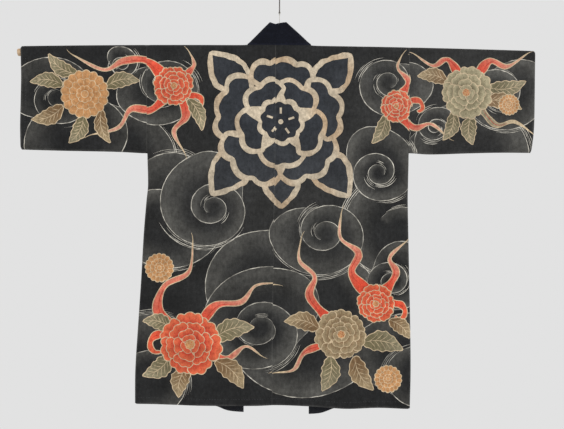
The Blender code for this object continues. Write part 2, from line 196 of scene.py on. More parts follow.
# Columns: side, x and height of one end, x and height of the other, half width, depth outwards
CREASES = (
    (BACK, -0.318, -0.405, -0.235, -0.560, 0.016, -0.0012),
    (BACK, -0.322, -0.440, -0.290, -0.640, 0.014, 0.0010),
    (BACK, 0.315, -0.405, 0.240, -0.550, 0.017, -0.0012),
    (BACK, 0.318, -0.450, 0.275, -0.660, 0.013, 0.0009),
    (BACK, -0.285, -0.150, -0.300, -0.330, 0.015, -0.0008),
    (BACK, -0.175, -0.140, -0.205, -0.300, 0.013, 0.0007),
    (BACK, 0.190, -0.140, 0.215, -0.310, 0.014, -0.0008),
    (BACK, -0.330, -0.700, -0.318, -0.990, 0.013, -0.0012),
    (BACK, -0.205, -0.640, -0.190, -0.930, 0.017, 0.0010),
    (BACK, -0.095, -0.720, -0.100, -1.020, 0.014, -0.0009),
    (BACK, 0.060, -0.660, 0.055, -1.010, 0.015, 0.0010),
    (BACK, 0.175, -0.720, 0.185, -1.025, 0.013, -0.0010),
    (BACK, 0.300, -0.680, 0.306, -1.015, 0.012, 0.0010),
    (BACK, -0.345, -0.770, -0.020, -0.762, 0.009, -0.0005),
    (BACK, 0.000, -0.764, 0.318, -0.772, 0.009, -0.0005),
    (BACK, -0.338, -0.566, -0.030, -0.572, 0.008, 0.0004),
    (BACK, -0.560, -0.150, -0.575, -0.330, 0.014, 0.0009),
    (BACK, -0.500, -0.230, -0.470, -0.385, 0.013, -0.0009),
    (BACK, -0.400, -0.155, -0.352, -0.300, 0.013, -0.0008),
    (BACK, 0.385, -0.160, 0.345, -0.310, 0.013, -0.0008),
    (BACK, 0.545, -0.160, 0.560, -0.350, 0.014, 0.0009),
    (BACK, 0.480, -0.250, 0.465, -0.395, 0.012, -0.0009),
    (BACK, 0.610, -0.300, 0.590, -0.395, 0.012, 0.0012),
    (FRONT, -0.318, -0.405, -0.220, -0.580, 0.016, -0.0012),
    (FRONT, 0.315, -0.405, 0.225, -0.570, 0.016, -0.0012),
    (FRONT, -0.290, -0.480, -0.300, -0.860, 0.015, 0.0010),
    (FRONT, 0.290, -0.500, 0.295, -0.900, 0.015, 0.0010),
    (FRONT, -0.180, -0.640, -0.205, -1.010, 0.014, -0.0010),
    (FRONT, 0.165, -0.620, 0.180, -1.015, 0.014, -0.0010),
    (FRONT, -0.140, -0.180, -0.170, -0.420, 0.013, 0.0008),
    (FRONT, 0.140, -0.180, 0.165, -0.400, 0.013, 0.0008),
    (FRONT, -0.345, -0.766, -0.150, -0.760, 0.009, -0.0005),
    (FRONT, 0.135, -0.768, 0.318, -0.774, 0.009, -0.0005),
    (FRONT, -0.570, -0.160, -0.550, -0.360, 0.014, 0.0009),
    (FRONT, -0.420, -0.170, -0.370, -0.330, 0.013, -0.0009),
    (FRONT, 0.420, -0.170, 0.360, -0.330, 0.013, -0.0009),
    (FRONT, 0.560, -0.170, 0.575, -0.370, 0.014, 0.0009),
)
print(len(DRAPE_WAVES), "waves,", len(LAYER_FOLDS), "folds,", len(CREASES), "creases")

# %% [markdown]
# Reading a table
#
# A table gives a few measured places; a smooth curve through them gives every place between. The
# functions work on whole arrays of points at once, because numpy is hundreds of times faster
# than a Python loop on the many points of a fine mesh.

# %% Small helpers
def read_table(rows, at, column):
    """A smooth curve through one column of a table, read at values of the first column."""
    table = np.array(sorted(rows))
    places, values = table[:, 0], table[:, column]
    last = len(places) - 1
    before = np.maximum(np.arange(last + 1) - 1, 0)
    after = np.minimum(np.arange(last + 1) + 1, last)
    slopes = (values[after] - values[before]) / (places[after] - places[before])
    at = np.clip(at, places[0], places[-1])
    low = np.clip(np.searchsorted(places, at, side="right") - 1, 0, last - 1)
    width = places[low + 1] - places[low]
    t = (at - places[low]) / width
    rise = t * t * (3 - 2 * t)
    return (values[low] * (1 - rise) + values[low + 1] * rise
            + width * slopes[low] * t * (1 - t) ** 2 - width * slopes[low + 1] * t * t * (1 - t))


def bell(t):
    """A soft bump: 1 at 0, and 0 from 1 on to either side."""
    return (1 - np.minimum(t * t, 1)) ** 2


def ease(t):
    """A soft step from 0 to 1."""
    t = np.clip(t, 0, 1)
    return t * t * (3 - 2 * t)


def quarter_round(t):
    """The rise of a quarter circle, from 0 at 0 to 1 at 1."""
    return np.sqrt(1 - (1 - np.clip(t, 0, 1)) ** 2)


def mix(a, b, t):
    """From a to b."""
    return a + (b - a) * t


print("half way down, the back's left edge is at x =",
      round(float(read_table(BODY_SECTIONS, (UNDERARM_Z + HEM_Z) / 2, 1)), 4))

# %% [markdown]
# One shape for the whole coat
#
# A strip of cloth is dyed flat and then hung over the rod. So each point has a flat place (x, q):
# q runs down the back below the shoulder line and up the front above it. The next cells turn a
# flat place into a point in space, by the coat's outline, its relief and the turn over the rod.
# The roof is the top of the fold: the shoulder, and the slanting fold of the collar round the neck.

# %% The roof and the edges
def shoulder_z(x):
    along = x / HALF_SPAN
    return SHOULDER_Z - SHOULDER_TILT * along - SHOULDER_BOW * along * along


def soft_ramp(t):
    """Near 0 below 0 and near t above it, with a soft bend between."""
    return (np.sqrt(t * t + NECK_EASE ** 2) + t) / 2


def inside_neck(x):
    return NECK_HALF - np.abs(x - NECK_CENTRE)


def roof_z(x):
    return shoulder_z(x) + soft_ramp(inside_neck(x))


def neckline_z(x):
    """Height of the seam between the back and the collar band."""
    return shoulder_z(x) + soft_ramp(-inside_neck(x))


def edge_x(z, left):
    """The side edge, in the middle of its wall."""
    inset = CLOTH / 2 + SEAM_GAP / 2
    if left:
        return read_table(BODY_SECTIONS, z, 1) + inset
    return read_table(BODY_SECTIONS, z, 3) - inset


def edge_distance(x, z):
    """Distance to the side seam or sleeve bottom, where the two layers meet."""
    left = x < NECK_CENTRE
    inwards = np.where(left, 1, -1)
    armhole = np.where(left, ARMHOLE_LEFT, ARMHOLE_RIGHT)
    on_sleeve = (np.abs(x) > np.abs(armhole)) & (z > UNDERARM_Z - EDGE_ROUND)
    edge = np.where(left, edge_x(z, True), edge_x(z, False))
    top_edge = np.where(left, edge_x(UNDERARM_Z, True), edge_x(UNDERARM_Z, False))
    above = np.hypot(np.maximum(inwards * (x - top_edge), 0), z - UNDERARM_Z)
    on_body = np.where(z <= UNDERARM_Z, inwards * (x - edge), above)
    return np.where(on_sleeve, z - read_table(SLEEVE_BOTTOM, x, 1), on_body)


print("shoulder at the cuffs", [round(float(shoulder_z(x)), 4) for x in (-HALF_SPAN, HALF_SPAN)])

# %% Relief of one layer
FOLD_FADE = 4  # a fold comes and goes over a quarter of its length
FOLD_OVERRUN = 1.15  # and reaches a little past its lower end
CREASE_FADE = 3.5  # the same for a crease
CREASE_BEND = 0.006  # how far a crease strays from its straight line
SEAM_DIP = 0.0011  # how deep the cloth sinks into a seam
SEAM_REACH = 0.0075


def fold_relief(x, z, side):
    """The wide folds of one layer, outwards."""
    relief = np.zeros_like(x)
    for fold_side, top_x, bottom_x, top, bottom, half_width, depth in LAYER_FOLDS:
        down = (top - z) / (top - bottom)
        across = (x - mix(top_x, bottom_x, down)) / half_width
        length = ease(FOLD_FADE * down) * ease(FOLD_FADE * (FOLD_OVERRUN - down))
        relief += np.where(side == fold_side, depth * bell(across) * length, 0)
    return relief


def crease_relief(x, z, side):
    """The small creases of one layer, outwards."""
    relief = np.zeros_like(x)
    for crease_side, x0, z0, x1, z1, half_width, depth in CREASES:
        length = math.hypot(x1 - x0, z1 - z0)
        along_x, along_z = (x1 - x0) / length, (z1 - z0) / length
        along = ((x - x0) * along_x + (z - z0) * along_z) / length
        across = (x - x0) * along_z - (z - z0) * along_x
        bent = across + CREASE_BEND * np.sin(5 * along + 90 * x0)
        ends = ease(CREASE_FADE * along) * ease(CREASE_FADE * (1 - along))
        relief += np.where(side == crease_side, depth * bell(bent / half_width) * ends, 0)
    return relief


def near_seam(x, z, side, reach):
    """1 on the centre-back and armhole seams, 0 at the reach and beyond."""
    centre = read_table(BODY_SECTIONS, z, 2)
    near = np.where(side == BACK, bell((x - centre) / reach), 0)
    for armhole in (ARMHOLE_LEFT, ARMHOLE_RIGHT):
        near = near + np.where(z > UNDERARM_Z, bell((x - armhole) / reach), 0)
    return near


# %% From the flat cloth to the hung coat
NORMAL_STEP = 0.0002  # between the points that give a normal


def hang_with_turn(x, z, side, turn):
    """y of a layer; turn is 0 on top of the fold and 1 where the cloth hangs straight."""
    closing = turn * quarter_round(edge_distance(x, z) / EDGE_ROUND)
    y = np.zeros_like(x)
    for centre, half_width, start, depth in DRAPE_WAVES:
        y = y + depth * bell((x - centre) / half_width) * ease((start - z) / abs(HEM_Z - start))
    relief = fold_relief(x, z, side) + crease_relief(x, z, side)
    relief = relief - SEAM_DIP * near_seam(x, z, side, SEAM_REACH)
    return y + side * (read_table(LAYER_DEPTH, z, 1) * closing + relief * closing ** 2)


def hang(x, z, side):
    """y of a layer at (x, z)."""
    return hang_with_turn(x, z, side, quarter_round((roof_z(x) - z) / FOLD_RADIUS))


def strip_point(flat):
    """Points in space of flat places, an array of (x, q)."""
    x, roof = flat[:, 0], roof_z(flat[:, 0])
    below = roof - flat[:, 1]
    side = np.where(below > 0, BACK, FRONT)
    run = np.abs(below)
    on_turn = run < QUARTER
    drop = np.where(on_turn, FOLD_RADIUS * (1 - np.cos(run / FOLD_RADIUS)),
                    FOLD_RADIUS + run - QUARTER)
    turn = np.where(on_turn, np.sin(run / FOLD_RADIUS), 1)
    z = roof - drop
    return np.stack([x, hang_with_turn(x, z, side, turn), z], axis=1)


def flat_place(x, z, side):
    """Flat place (x, q) of the point of a layer at (x, z)."""
    drop = np.maximum(roof_z(x) - z, 0)
    on_turn = drop < FOLD_RADIUS
    turned = FOLD_RADIUS * np.arccos(1 - np.minimum(drop / FOLD_RADIUS, 1))
    run = np.where(on_turn, turned, QUARTER + drop - FOLD_RADIUS)
    return np.stack([x, roof_z(x) + side * run], axis=1)


def outward(flat):
    """Unit normals of the hung cloth at flat places."""
    right, up = np.array([NORMAL_STEP, 0]), np.array([0, NORMAL_STEP])
    across = strip_point(flat + right) - strip_point(flat - right)
    along = strip_point(flat + up) - strip_point(flat - up)
    normal = np.cross(across, along)
    return normal / np.maximum(np.linalg.norm(normal, axis=1, keepdims=True), 1e-12)


print("middle of the back:", strip_point(np.array([[0.0, -0.6]])).round(4).tolist())

# %% [markdown]
# Camera
#
# The picture is taken square on to the coat's back. The camera stands on the line through the
# middle of the picture, and its distance follows from how much of the wall the picture is wide.

# %% Camera
PIXEL = 0.00248  # metres of the coat's back for one pixel of the picture
FRAME_WIDTH = 564  # the picture's width, in its pixels
VIEW_CENTRE = (282.0, 214.5)  # the picture's middle, in its pixels
ORIGIN_PIXEL = (279.5, -8.0)  # the hook's eye, just above the picture
LENS = 50.0
SENSOR = 36.0


def collect(thing):
    """Put a new object into the scene."""
    bpy.context.scene.collection.objects.link(thing)
    return thing


camera_data = bpy.data.cameras.new("camera")
camera_data.lens = LENS
camera_data.sensor_width = SENSOR
camera = collect(bpy.data.objects.new("camera", camera_data))
distance = FRAME_WIDTH * PIXEL * LENS / SENSOR
camera.location = (
    (VIEW_CENTRE[0] - ORIGIN_PIXEL[0]) * PIXEL,
    -distance - FOLD_RADIUS,
    -(VIEW_CENTRE[1] - ORIGIN_PIXEL[1]) * PIXEL,
)
camera.rotation_euler = (math.radians(90), 0, 0)
bpy.context.scene.camera = camera
print("camera", [round(v, 3) for v in camera.location])


# %% [markdown]
# Thread, hook and rod
#
# The rod hangs from one taut thread. It is a curve with a round bevel, which is the simplest way
# to make a cord: a line of points and a radius. The thread's ends are tied off in small loops,
# one on the hook and one on the rod, each with a knot. The loops, the knots, the bent wire of the
# hook and the rod are tubes: rings of points along a route, which can close on themselves or
# change their radius, as the worn end of the wire does.

# %% Make a tube along a route
ASLANT = (0.31, 0.87, 0.39)  # a direction along which no route starts
SHARP_FOLD = math.radians(50)  # from here on, two faces meet in a sharp edge


def directions(line, closed):
    """Unit vectors along a line, at each of its points."""
    ahead = np.roll(line, -1, axis=0) - np.roll(line, 1, axis=0)
    if not closed:
        ahead[0] = line[1] - line[0]
        ahead[-1] = line[-1] - line[-2]
    return ahead / np.maximum(np.linalg.norm(ahead, axis=1, keepdims=True), 1e-9)


def tube(name, route, radius, sides, closed=False):
    """A mesh tube with flat ends along a route; radius may be a list, one for each point."""
    route = np.array(route, dtype=float)
    count = len(route)
    radii = np.full(count, radius) if np.isscalar(radius) else np.array(radius)
    ahead = directions(route, closed)
    side = np.cross(ahead[0], ASLANT)
    vertices = []
    for place, way, r in zip(route, ahead, radii):
        side = side - way * side.dot(way)
        side /= np.linalg.norm(side)
        other = np.cross(way, side)
        for k in range(sides):
            turn = 2 * math.pi * k / sides
            vertices.append(place + r * (side * math.cos(turn) + other * math.sin(turn)))
    faces = []
    for i in range(count if closed else count - 1):
        j = (i + 1) % count
        shift = 0
        if closed and i == count - 1:
            gaps = [np.linalg.norm(vertices[k] - vertices[i * sides]) for k in range(sides)]
            shift = int(np.argmin(gaps))
        for k in range(sides):
            m = (k + 1) % sides
            faces.append((i * sides + k, i * sides + m,
                          j * sides + (m + shift) % sides, j * sides + (k + shift) % sides))
    if not closed:
        faces.append(tuple(reversed(range(sides))))
        faces.append(tuple(range((count - 1) * sides, count * sides)))
    mesh = bpy.data.meshes.new(name)
    mesh.from_pydata([tuple(v) for v in vertices], [], faces)
    mesh.update()
    mesh.shade_smooth()
    mesh.set_sharp_from_angle(angle=SHARP_FOLD)
    return collect(bpy.data.objects.new(name, mesh))


def ring_route(centre, radius, round_x, steps, start=0, sweep=360):
    """A ring round the x axis or round the y axis; start and sweep are in degrees."""
    count = steps if sweep == 360 else steps + 1
    turns = np.radians(start + sweep * np.arange(count) / steps)
    side = radius * np.cos(turns)
    flat = np.zeros(count)
    up = radius * np.sin(turns)
    return np.array(centre) + np.stack([flat, side, up] if round_x else [side, flat, up], axis=1)


# %% The thread and its loops
THREAD_RADIUS = 0.0006
THREAD_STEPS = 24
ROD_END_DROP = 0.0035  # how far the rod's ends sink below the shoulder line
HOOK_WIRE = 0.0015  # radius of the hook's wire
HOOK_BEND_Z = -0.0490  # the wire's middle at the bottom of its open bend
LOOP_OPENING = 70  # degrees of the rod's loop that the cloth presses flat


def rod_z(x):
    return shoulder_z(x) - FOLD_RADIUS - ROD_END_DROP * (x / HALF_SPAN) ** 4


hook_ring = (HOOK_WIRE + SEAM_GAP) / FACET_COS + THREAD_RADIUS
rod_ring = (ROD_RADIUS + SEAM_GAP) / FACET_COS + THREAD_RADIUS
rod_middle = (0, 0, rod_z(0.0))
thread_top = HOOK_BEND_Z - hook_ring - THREAD_RADIUS - SEAM_GAP
thread_bottom = rod_middle[2] + rod_ring + THREAD_RADIUS + SEAM_GAP

thread_curve = bpy.data.curves.new("hanging_thread_cord", "CURVE")
thread_curve.dimensions = "3D"
thread_curve.bevel_depth = THREAD_RADIUS
thread_curve.bevel_resolution = 4
thread_curve.use_fill_caps = True
spline = thread_curve.splines.new("POLY")
spline.points.add(THREAD_STEPS)
for k, point in enumerate(spline.points):
    point.co = (0, 0, mix(thread_bottom, thread_top, k / THREAD_STEPS), 1)
spline.use_smooth = True
thread = collect(bpy.data.objects.new("hanging_thread_cord", thread_curve))

closed_loop = ring_route((0, 0, HOOK_BEND_Z), hook_ring, False, 28)
loop_on_hook = tube("thread_loop_on_hook", closed_loop, THREAD_RADIUS, 10, closed=True)
open_loop = ring_route(rod_middle, rod_ring, True, 40, 180 + LOOP_OPENING / 2, 360 - LOOP_OPENING)
loop_on_rod = tube("thread_loop_on_rod", open_loop, THREAD_RADIUS, 10)
print("thread", round(thread_top - thread_bottom, 4), "m")

# %% The knots
KNOT_SIZE = 0.0014
KNOT_RISE = 0.0018  # from the thread's end to the middle of its knot


def knot(name, z):
    """A small overhand knot: a closed trefoil line with a round bevel."""
    turns = np.linspace(0, 2 * math.pi, 60, endpoint=False)
    line = np.stack([
        np.sin(turns) + 2 * np.sin(2 * turns),
        1.3 * np.sin(3 * turns),
        np.cos(turns) - 2 * np.cos(2 * turns),
    ], axis=1)
    route = np.array((0, 0, z)) + line * KNOT_SIZE / 3
    return tube(name, route, THREAD_RADIUS * 0.85, 8, closed=True)


rod_knot = knot("thread_knot_at_rod", thread_bottom + KNOT_RISE)
hook_knot = knot("thread_knot_at_hook", thread_top - KNOT_RISE)
print("knots", len(rod_knot.data.polygons), "faces each")

# %% The hook
HOOK_EYE = 0.0060  # radius of the eye, at the wire's middle
EYE_SWEEP = 300  # degrees that the eye winds round
HOOK_BEND = 0.0050  # radius of the open bend
BEND_SWEEP = 205  # degrees that the bend turns
FILED_STEPS = 6  # route points over which the wire's end gets thin


def hook_route():
    """Round the eye, down the shank and round the open bend."""
    route = []
    for turn in np.radians(-90 - EYE_SWEEP + EYE_SWEEP * np.linspace(0, 1, 40)):
        route.append((0, HOOK_EYE * math.cos(turn), HOOK_EYE * math.sin(turn)))
    bottom = HOOK_BEND_Z + HOOK_BEND
    for share in np.linspace(0, 1, 26)[1:-1]:
        route.append((0, HOOK_BEND * float(ease(share)), mix(-HOOK_EYE, bottom, share)))
    for turn in np.radians(-BEND_SWEEP * np.linspace(0, 1, 30)):
        route.append((0, HOOK_BEND * math.cos(turn), bottom + HOOK_BEND * math.sin(turn)))
    return route


route = hook_route()
wire = np.full(len(route), HOOK_WIRE)
wire[-FILED_STEPS:] *= np.linspace(0.98, 0.55, FILED_STEPS)
hook = tube("hook_wire", route, wire, 14)
print("hook", len(hook.data.polygons), "faces")

# %% The rod
ROD_LEFT_END = -0.6520
ROD_RIGHT_END = 0.6120
ROD_ROUNDING = 0.0016  # how far the rims of its ends are rounded
ROD_SEGMENTS = 90
ROD_SIDES = 40

rim_steps = ROD_ROUNDING * (1 - np.cos(np.linspace(0, math.pi / 2, 5)))
rod_x = np.concatenate([
    ROD_LEFT_END + rim_steps[:-1],
    np.linspace(ROD_LEFT_END + ROD_ROUNDING, ROD_RIGHT_END - ROD_ROUNDING, ROD_SEGMENTS),
    ROD_RIGHT_END - rim_steps[::-1][1:],
])
end_distance = np.minimum(rod_x - ROD_LEFT_END, ROD_RIGHT_END - rod_x)
rod_radii = ROD_RADIUS - ROD_ROUNDING * (1 - quarter_round(end_distance / ROD_ROUNDING))
rod_radii *= 1 + 0.006 * np.sin(rod_x * 31) + 0.004 * np.sin(rod_x * 77)
rod = tube("wooden_rod", np.stack([rod_x, 0 * rod_x, rod_z(rod_x)], axis=1),
           np.minimum(rod_radii, ROD_RADIUS), ROD_SIDES)
print("rod", round(ROD_RIGHT_END - ROD_LEFT_END, 3), "m,", len(rod.data.polygons), "faces")


# %% [markdown]
# Drawing dyed shapes
#
# The pattern on such a coat is drawn with rice paste and filled with brushed dyes, so its edges are
# crisp and every outline stays pale. A picture of pixels would blur; instead each shape is a
# polygon on the flat cloth, and the mesh is later cut along its edges. Shapes are listed in the
# order in which they would be painted, and the last one on top wins.

# %% Colours
GROUND = np.array((0.0160, 0.0163, 0.0168))
WHIRL_GREY = np.array((0.094, 0.0915, 0.083))
NAVY = np.array((0.0255, 0.0285, 0.0340))
CREAM = np.array((0.580, 0.450, 0.290))
TAN = np.array((0.550, 0.462, 0.342))
TAN_BROWN = np.array((0.370, 0.215, 0.100))
PALE_LINE = np.array((0.620, 0.585, 0.505))
DRY_LINE = np.array((0.170, 0.160, 0.140))
DEEP_RED = np.array((0.480, 0.035, 0.020))
RED = np.array((0.640, 0.070, 0.034))
ORANGE = np.array((0.660, 0.135, 0.060))
PINK = np.array((0.620, 0.330, 0.230))
OLIVE = np.array((0.165, 0.140, 0.075))
OLIVE_GREY = np.array((0.270, 0.235, 0.150))
OCHRE = np.array((0.430, 0.200, 0.075))
OCHRE_LIGHT = np.array((0.520, 0.275, 0.120))
PALE_OLIVE = np.array((0.400, 0.345, 0.215))
BROWN = np.array((0.200, 0.120, 0.058))
PALE_BROWN = np.array((0.330, 0.250, 0.145))
print("ground", GROUND, "brushed grey", WHIRL_GREY)

# %% Lines and outlines on the flat cloth
DYED = []  # shapes in painting order: (outline, paint)


def flow(points, closed=False, spacing=0.005):
    """A smooth line through a few points, with points at an even spacing."""
    spots = np.array(points, dtype=float)
    first, last = (spots[-1:], spots[:2]) if closed else (spots[:1], spots[-1:])
    padded = np.concatenate([first, spots, last])
    t = np.linspace(0, 1, 12, endpoint=False)[:, None]
    parts = []
    for before, start, end, after in zip(padded, padded[1:], padded[2:], padded[3:]):
        parts.append(0.5 * (2 * start + (end - before) * t
                            + (2 * before - 5 * start + 4 * end - after) * t ** 2
                            + (3 * start - before - 3 * end + after) * t ** 3))
    line = np.concatenate(parts + [parts[0][:1] if closed else spots[-1:]])
    along = np.concatenate([[0], np.cumsum(np.linalg.norm(np.diff(line, axis=0), axis=1))])
    count = max(int(along[-1] / spacing), 3)
    even = np.linspace(0, along[-1], count + 1)
    even = even[:-1] if closed else even
    return np.stack([np.interp(even, along, line[:, 0]), np.interp(even, along, line[:, 1])], axis=1)


def sideways(line, closed=False):
    """Unit vectors to the left of a line at each of its points."""
    ahead = directions(line, closed)
    return np.stack([-ahead[:, 1], ahead[:, 0]], axis=1)


def wobble(line, size, seed):
    """A slow uneven sway, as of a hand-held tube of paste."""
    place = line[:, 0] * 83 + line[:, 1] * 61
    return size * (np.sin(place + seed * 1.7) + 0.6 * np.sin(2.3 * place + seed * 3.1))


def band(line, widths):
    """The outline of a stroke of varying width along a line."""
    left = sideways(line)
    half = np.broadcast_to(np.asarray(widths) / 2, len(line))[:, None]
    return np.concatenate([line + left * half, (line - left * half)[::-1]])


def polar(centre, r, angle, squash=1.0):
    """Places at distances and angles from a centre."""
    return np.array(centre) + np.stack([r * np.cos(angle), squash * r * np.sin(angle)], axis=1)


def signed_area(outline):
    """The area inside an outline, negative where the inside is on its right."""
    x, y = outline[:, 0], outline[:, 1]
    return float(np.sum(x * np.roll(y, -1) - y * np.roll(x, -1))) / 2


def left_handed(outline):
    """The outline with its inside on its left."""
    return outline if signed_area(outline) > 0 else outline[::-1]


def grow(outline, amount):
    """A left-handed outline moved outwards, or inwards where the amount is negative."""
    return outline - sideways(outline, closed=True) * amount


# %% Paints
def soft_patches(flat, across, along, shift, turn):
    """Soft patches from -1 to 1, at so many radians a metre across and along the cloth."""
    return np.sin(flat[:, 0] * across + shift) * np.sin(flat[:, 1] * along + turn)


def plain(colour):
    return lambda flat: np.broadcast_to(colour, (len(flat), 3))


def fading(inner, outer, centre, near, far):
    """A brushed dye that changes from one colour to another between two distances from a place."""
    centre = np.array(centre)

    def paint(flat):
        t = (np.linalg.norm(flat - centre, axis=1) - near) / (far - near)
        return mix(inner, outer, ease(t)[:, None])
    return paint


def undyed(seed):
    """Undyed tan cloth with a slow brownish stain."""
    def paint(flat):
        sway = soft_patches(flat, 21, 17, seed, 2 * seed)
        sway = sway + 0.5 * np.sin(flat[:, 0] * 57 + flat[:, 1] * 41 + seed)
        return mix(TAN, TAN_BROWN, ease(sway * 0.5 + 0.16)[:, None] * 0.60)
    return paint


SKIRT_Q = -0.62  # the skirt begins here on the flat back


def dry(seed):
    """A pale line that fades and comes back, as where the paste did not cover."""
    def paint(flat):
        sway = soft_patches(flat, 97, 83, seed, 1.7 * seed)
        sway = sway + 0.6 * np.sin(flat[:, 0] * 261 - flat[:, 1] * 219 + seed)
        low = ease((SKIRT_Q - flat[:, 1]) / 0.20)
        return mix(PALE_LINE, DRY_LINE, ease(0.36 + 0.24 * low + 0.45 * sway)[:, None])
    return paint


# %% Lay down a shape
def dye(outline, paint):
    DYED.append((left_handed(np.asarray(outline)), paint))


def outlined(outline, width, line_paint, paint, seed=0):
    """A filled shape with its pale outline, the line's middle on the outline."""
    outline = left_handed(outline)
    sway = wobble(outline, 0.08 * width, seed)[:, None]
    move = sideways(outline, closed=True)
    DYED.append((grow(outline, width / 2) + move * sway, line_paint))
    DYED.append((grow(outline, -width / 2) - move * sway * 0.6, paint))


def stroke(points, width, paint, taper, seed, spacing=0.005):
    """An open line, thin at both ends; taper is the share of it over which an end gets thin."""
    line = flow(points, spacing=spacing)
    t = np.linspace(0, 1, len(line))
    thin = np.minimum(1, np.minimum(t, 1 - t) / taper + 0.22)
    dye(band(line, width * thin * (1 + wobble(line, 0.12, seed))), paint)


# %% [markdown]
# Whirls
#
# The grey ground is full of whirls: one pale line that winds outwards, a few short strokes
# beside it, and a soft grey brushed inside the line that fades towards the next turn. Such lines
# could be drawn by hand as curves, but a whirl is a spiral: a formula gives its line, and the same
# formula says how far a point lies from the turn outside it, which gives the grey.

# %% The line of a whirl and its grey
LINE_WIDTH = 0.0017
WINDING = 0.140  # how fast a whirl tightens with each radian
TUCK = 1 - math.exp(-WINDING * 2 * math.pi)
FADE_SHARE = 0.56  # how far in the brushed grey goes, as a share of the radius
FADE_REACH = 0.095  # and at most
Whirl = namedtuple("Whirl", "x q radius turns start way squash strength")


def whirl_radius(radius, turn):
    """Distance of the line from the middle, at an angle back from its outer end, in radians."""
    r = radius * np.exp(-WINDING * turn) * (1 + 0.035 * np.sin(turn + radius * 90))
    return r * (1 - TUCK * (1 - ease(turn / 1.6)))


def whirl_places(whirl, turn, out=0.0):
    """Places on the line of a whirl; out moves them away from its middle."""
    angle = math.radians(whirl.start) - whirl.way * turn
    return polar((whirl.x, whirl.q), whirl_radius(whirl.radius, turn) + out, angle, whirl.squash)


def whirl_grey(whirl, seed):
    """The brushed grey: strongest just inside the line, gone before the next turn."""
    total = whirl.turns * 2 * math.pi

    def paint(flat):
        away = (flat - (whirl.x, whirl.q)) / (1, whirl.squash)
        r = np.hypot(away[:, 0], away[:, 1])
        angle = np.arctan2(away[:, 1], away[:, 0])
        behind = (whirl.way * (math.radians(whirl.start) - angle)) % (2 * math.pi)
        outer = np.full(len(flat), whirl.radius * 1.1)
        for k in range(int(whirl.turns) + 2):
            turn = behind + 2 * math.pi * k
            line = whirl_radius(whirl.radius, turn)
            outer = np.where((line >= r) & (line < outer) & (turn <= total), line, outer)
        reach = np.minimum(outer * FADE_SHARE, FADE_REACH)
        brushed = 0.74 + 0.26 * np.sin(angle + 1.9 * seed) * np.cos(2 * angle + seed)
        tone = (1 - ease((outer - r) / reach)) * brushed
        sway = soft_patches(flat, 61, 53, seed, -seed)
        brush = np.sin((outer - r) * 215 + 2 * np.sin(2 * angle + seed))
        tone = np.clip(tone * (0.94 + 0.18 * sway + 0.13 * brush), 0, 1)
        return mix(GROUND, WHIRL_GREY * whirl.strength, tone[:, None])
    return paint


# %% Draw a whirl
RIGHT_SIDE = 0.20  # to the right of this x, a whirl has one more group of strokes
STROKE_STEP = 0.0045  # between the short strokes beside a line
LAST_GROUP = 0.86  # where along the line the inmost group starts
LINE_SWAY = 0.00022


def side_strokes(whirl, seed):
    """Groups of one to three short strokes outside the line, at random places."""
    rng = np.random.default_rng(seed)
    total = whirl.turns * 2 * math.pi
    groups = 2 + seed % 2 + 2 * (whirl.q > SKIRT_Q) + (whirl.x > RIGHT_SIDE)
    for share in list(rng.uniform(0.09, 0.72, groups)) + [LAST_GROUP]:
        closer = 0.7 if share == LAST_GROUP else 1
        for k in range(int(rng.integers(1, 4))):
            begin = share * total + rng.uniform(-0.15, 0.35)
            end = min(begin + rng.uniform(0.45, 1.25), total + 0.5)
            out = STROKE_STEP * (k + rng.uniform(0.75, 1.1)) * closer
            spots = whirl_places(whirl, np.linspace(begin, end, 14), out * np.linspace(1.10, 0.85, 14))
            stroke(spots, LINE_WIDTH * 0.72, dry(seed + k + 3), 0.35, seed + k, 0.0055)


def draw_whirl(whirl, seed):
    outer_turn = np.arange(0, 2 * math.pi, 0.006 / whirl.radius)
    dye(whirl_places(whirl, outer_turn), whirl_grey(whirl, seed))
    line = flow(whirl_places(whirl, np.arange(0, whirl.turns * 2 * math.pi, 0.07)), spacing=0.0045)
    t = np.linspace(0, 1, len(line))
    thin = np.minimum(1, np.minimum(t * 9, (1 - t) * 6) + 0.25)
    line = line + sideways(line) * wobble(line * 3, LINE_SWAY, seed)[:, None]
    dye(band(line, LINE_WIDTH * thin * (1 + wobble(line, 0.16, seed))), dry(seed))
    side_strokes(whirl, seed)


# %% Layout of the whirls
# Columns: x, q, radius, turns, angle of the outer end, way round, squash, strength
BACK_WHIRLS = (
    (-0.480, -0.370, 0.280, 1.5, 60, 1, 0.85, 0.62),
    (0.450, -0.400, 0.290, 1.5, 150, -1, 0.85, 0.95),
    (0.030, -0.840, 0.380, 1.3, 200, 1, 0.86, 0.95),
    (-0.330, -0.960, 0.240, 1.6, 350, -1, 0.85, 0.75),
    (0.350, -0.940, 0.240, 1.6, 230, 1, 0.85, 0.75),
    (-0.290, -0.570, 0.240, 1.5, 160, 1, 0.90, 0.95),
    (0.300, -0.600, 0.240, 1.5, 320, -1, 0.90, 1.00),
    (-0.285, -0.240, 0.150, 2.3, 120, -1, 0.92, 0.85),
    (0.270, -0.225, 0.135, 2.4, 70, 1, 0.92, 0.95),
    (-0.550, -0.268, 0.160, 2.5, 250, 1, 0.92, 0.62),
    (0.545, -0.262, 0.160, 2.5, 110, 1, 0.92, 0.95),
    (0.110, -0.600, 0.175, 2.4, 100, -1, 0.90, 0.95),
    (-0.165, -0.540, 0.190, 2.6, 10, -1, 0.92, 1.00),
    (0.245, -0.450, 0.150, 2.6, 190, 1, 0.94, 1.00),
    (-0.050, -0.838, 0.235, 2.6, 330, -1, 0.88, 0.95),
    (0.275, -0.720, 0.135, 2.4, 150, 1, 0.94, 0.90),
    (0.385, -0.345, 0.070, 2.2, 330, -1, 0.92, 0.90),
    (-0.390, -0.190, 0.062, 2.2, 200, 1, 0.92, 0.80),
)
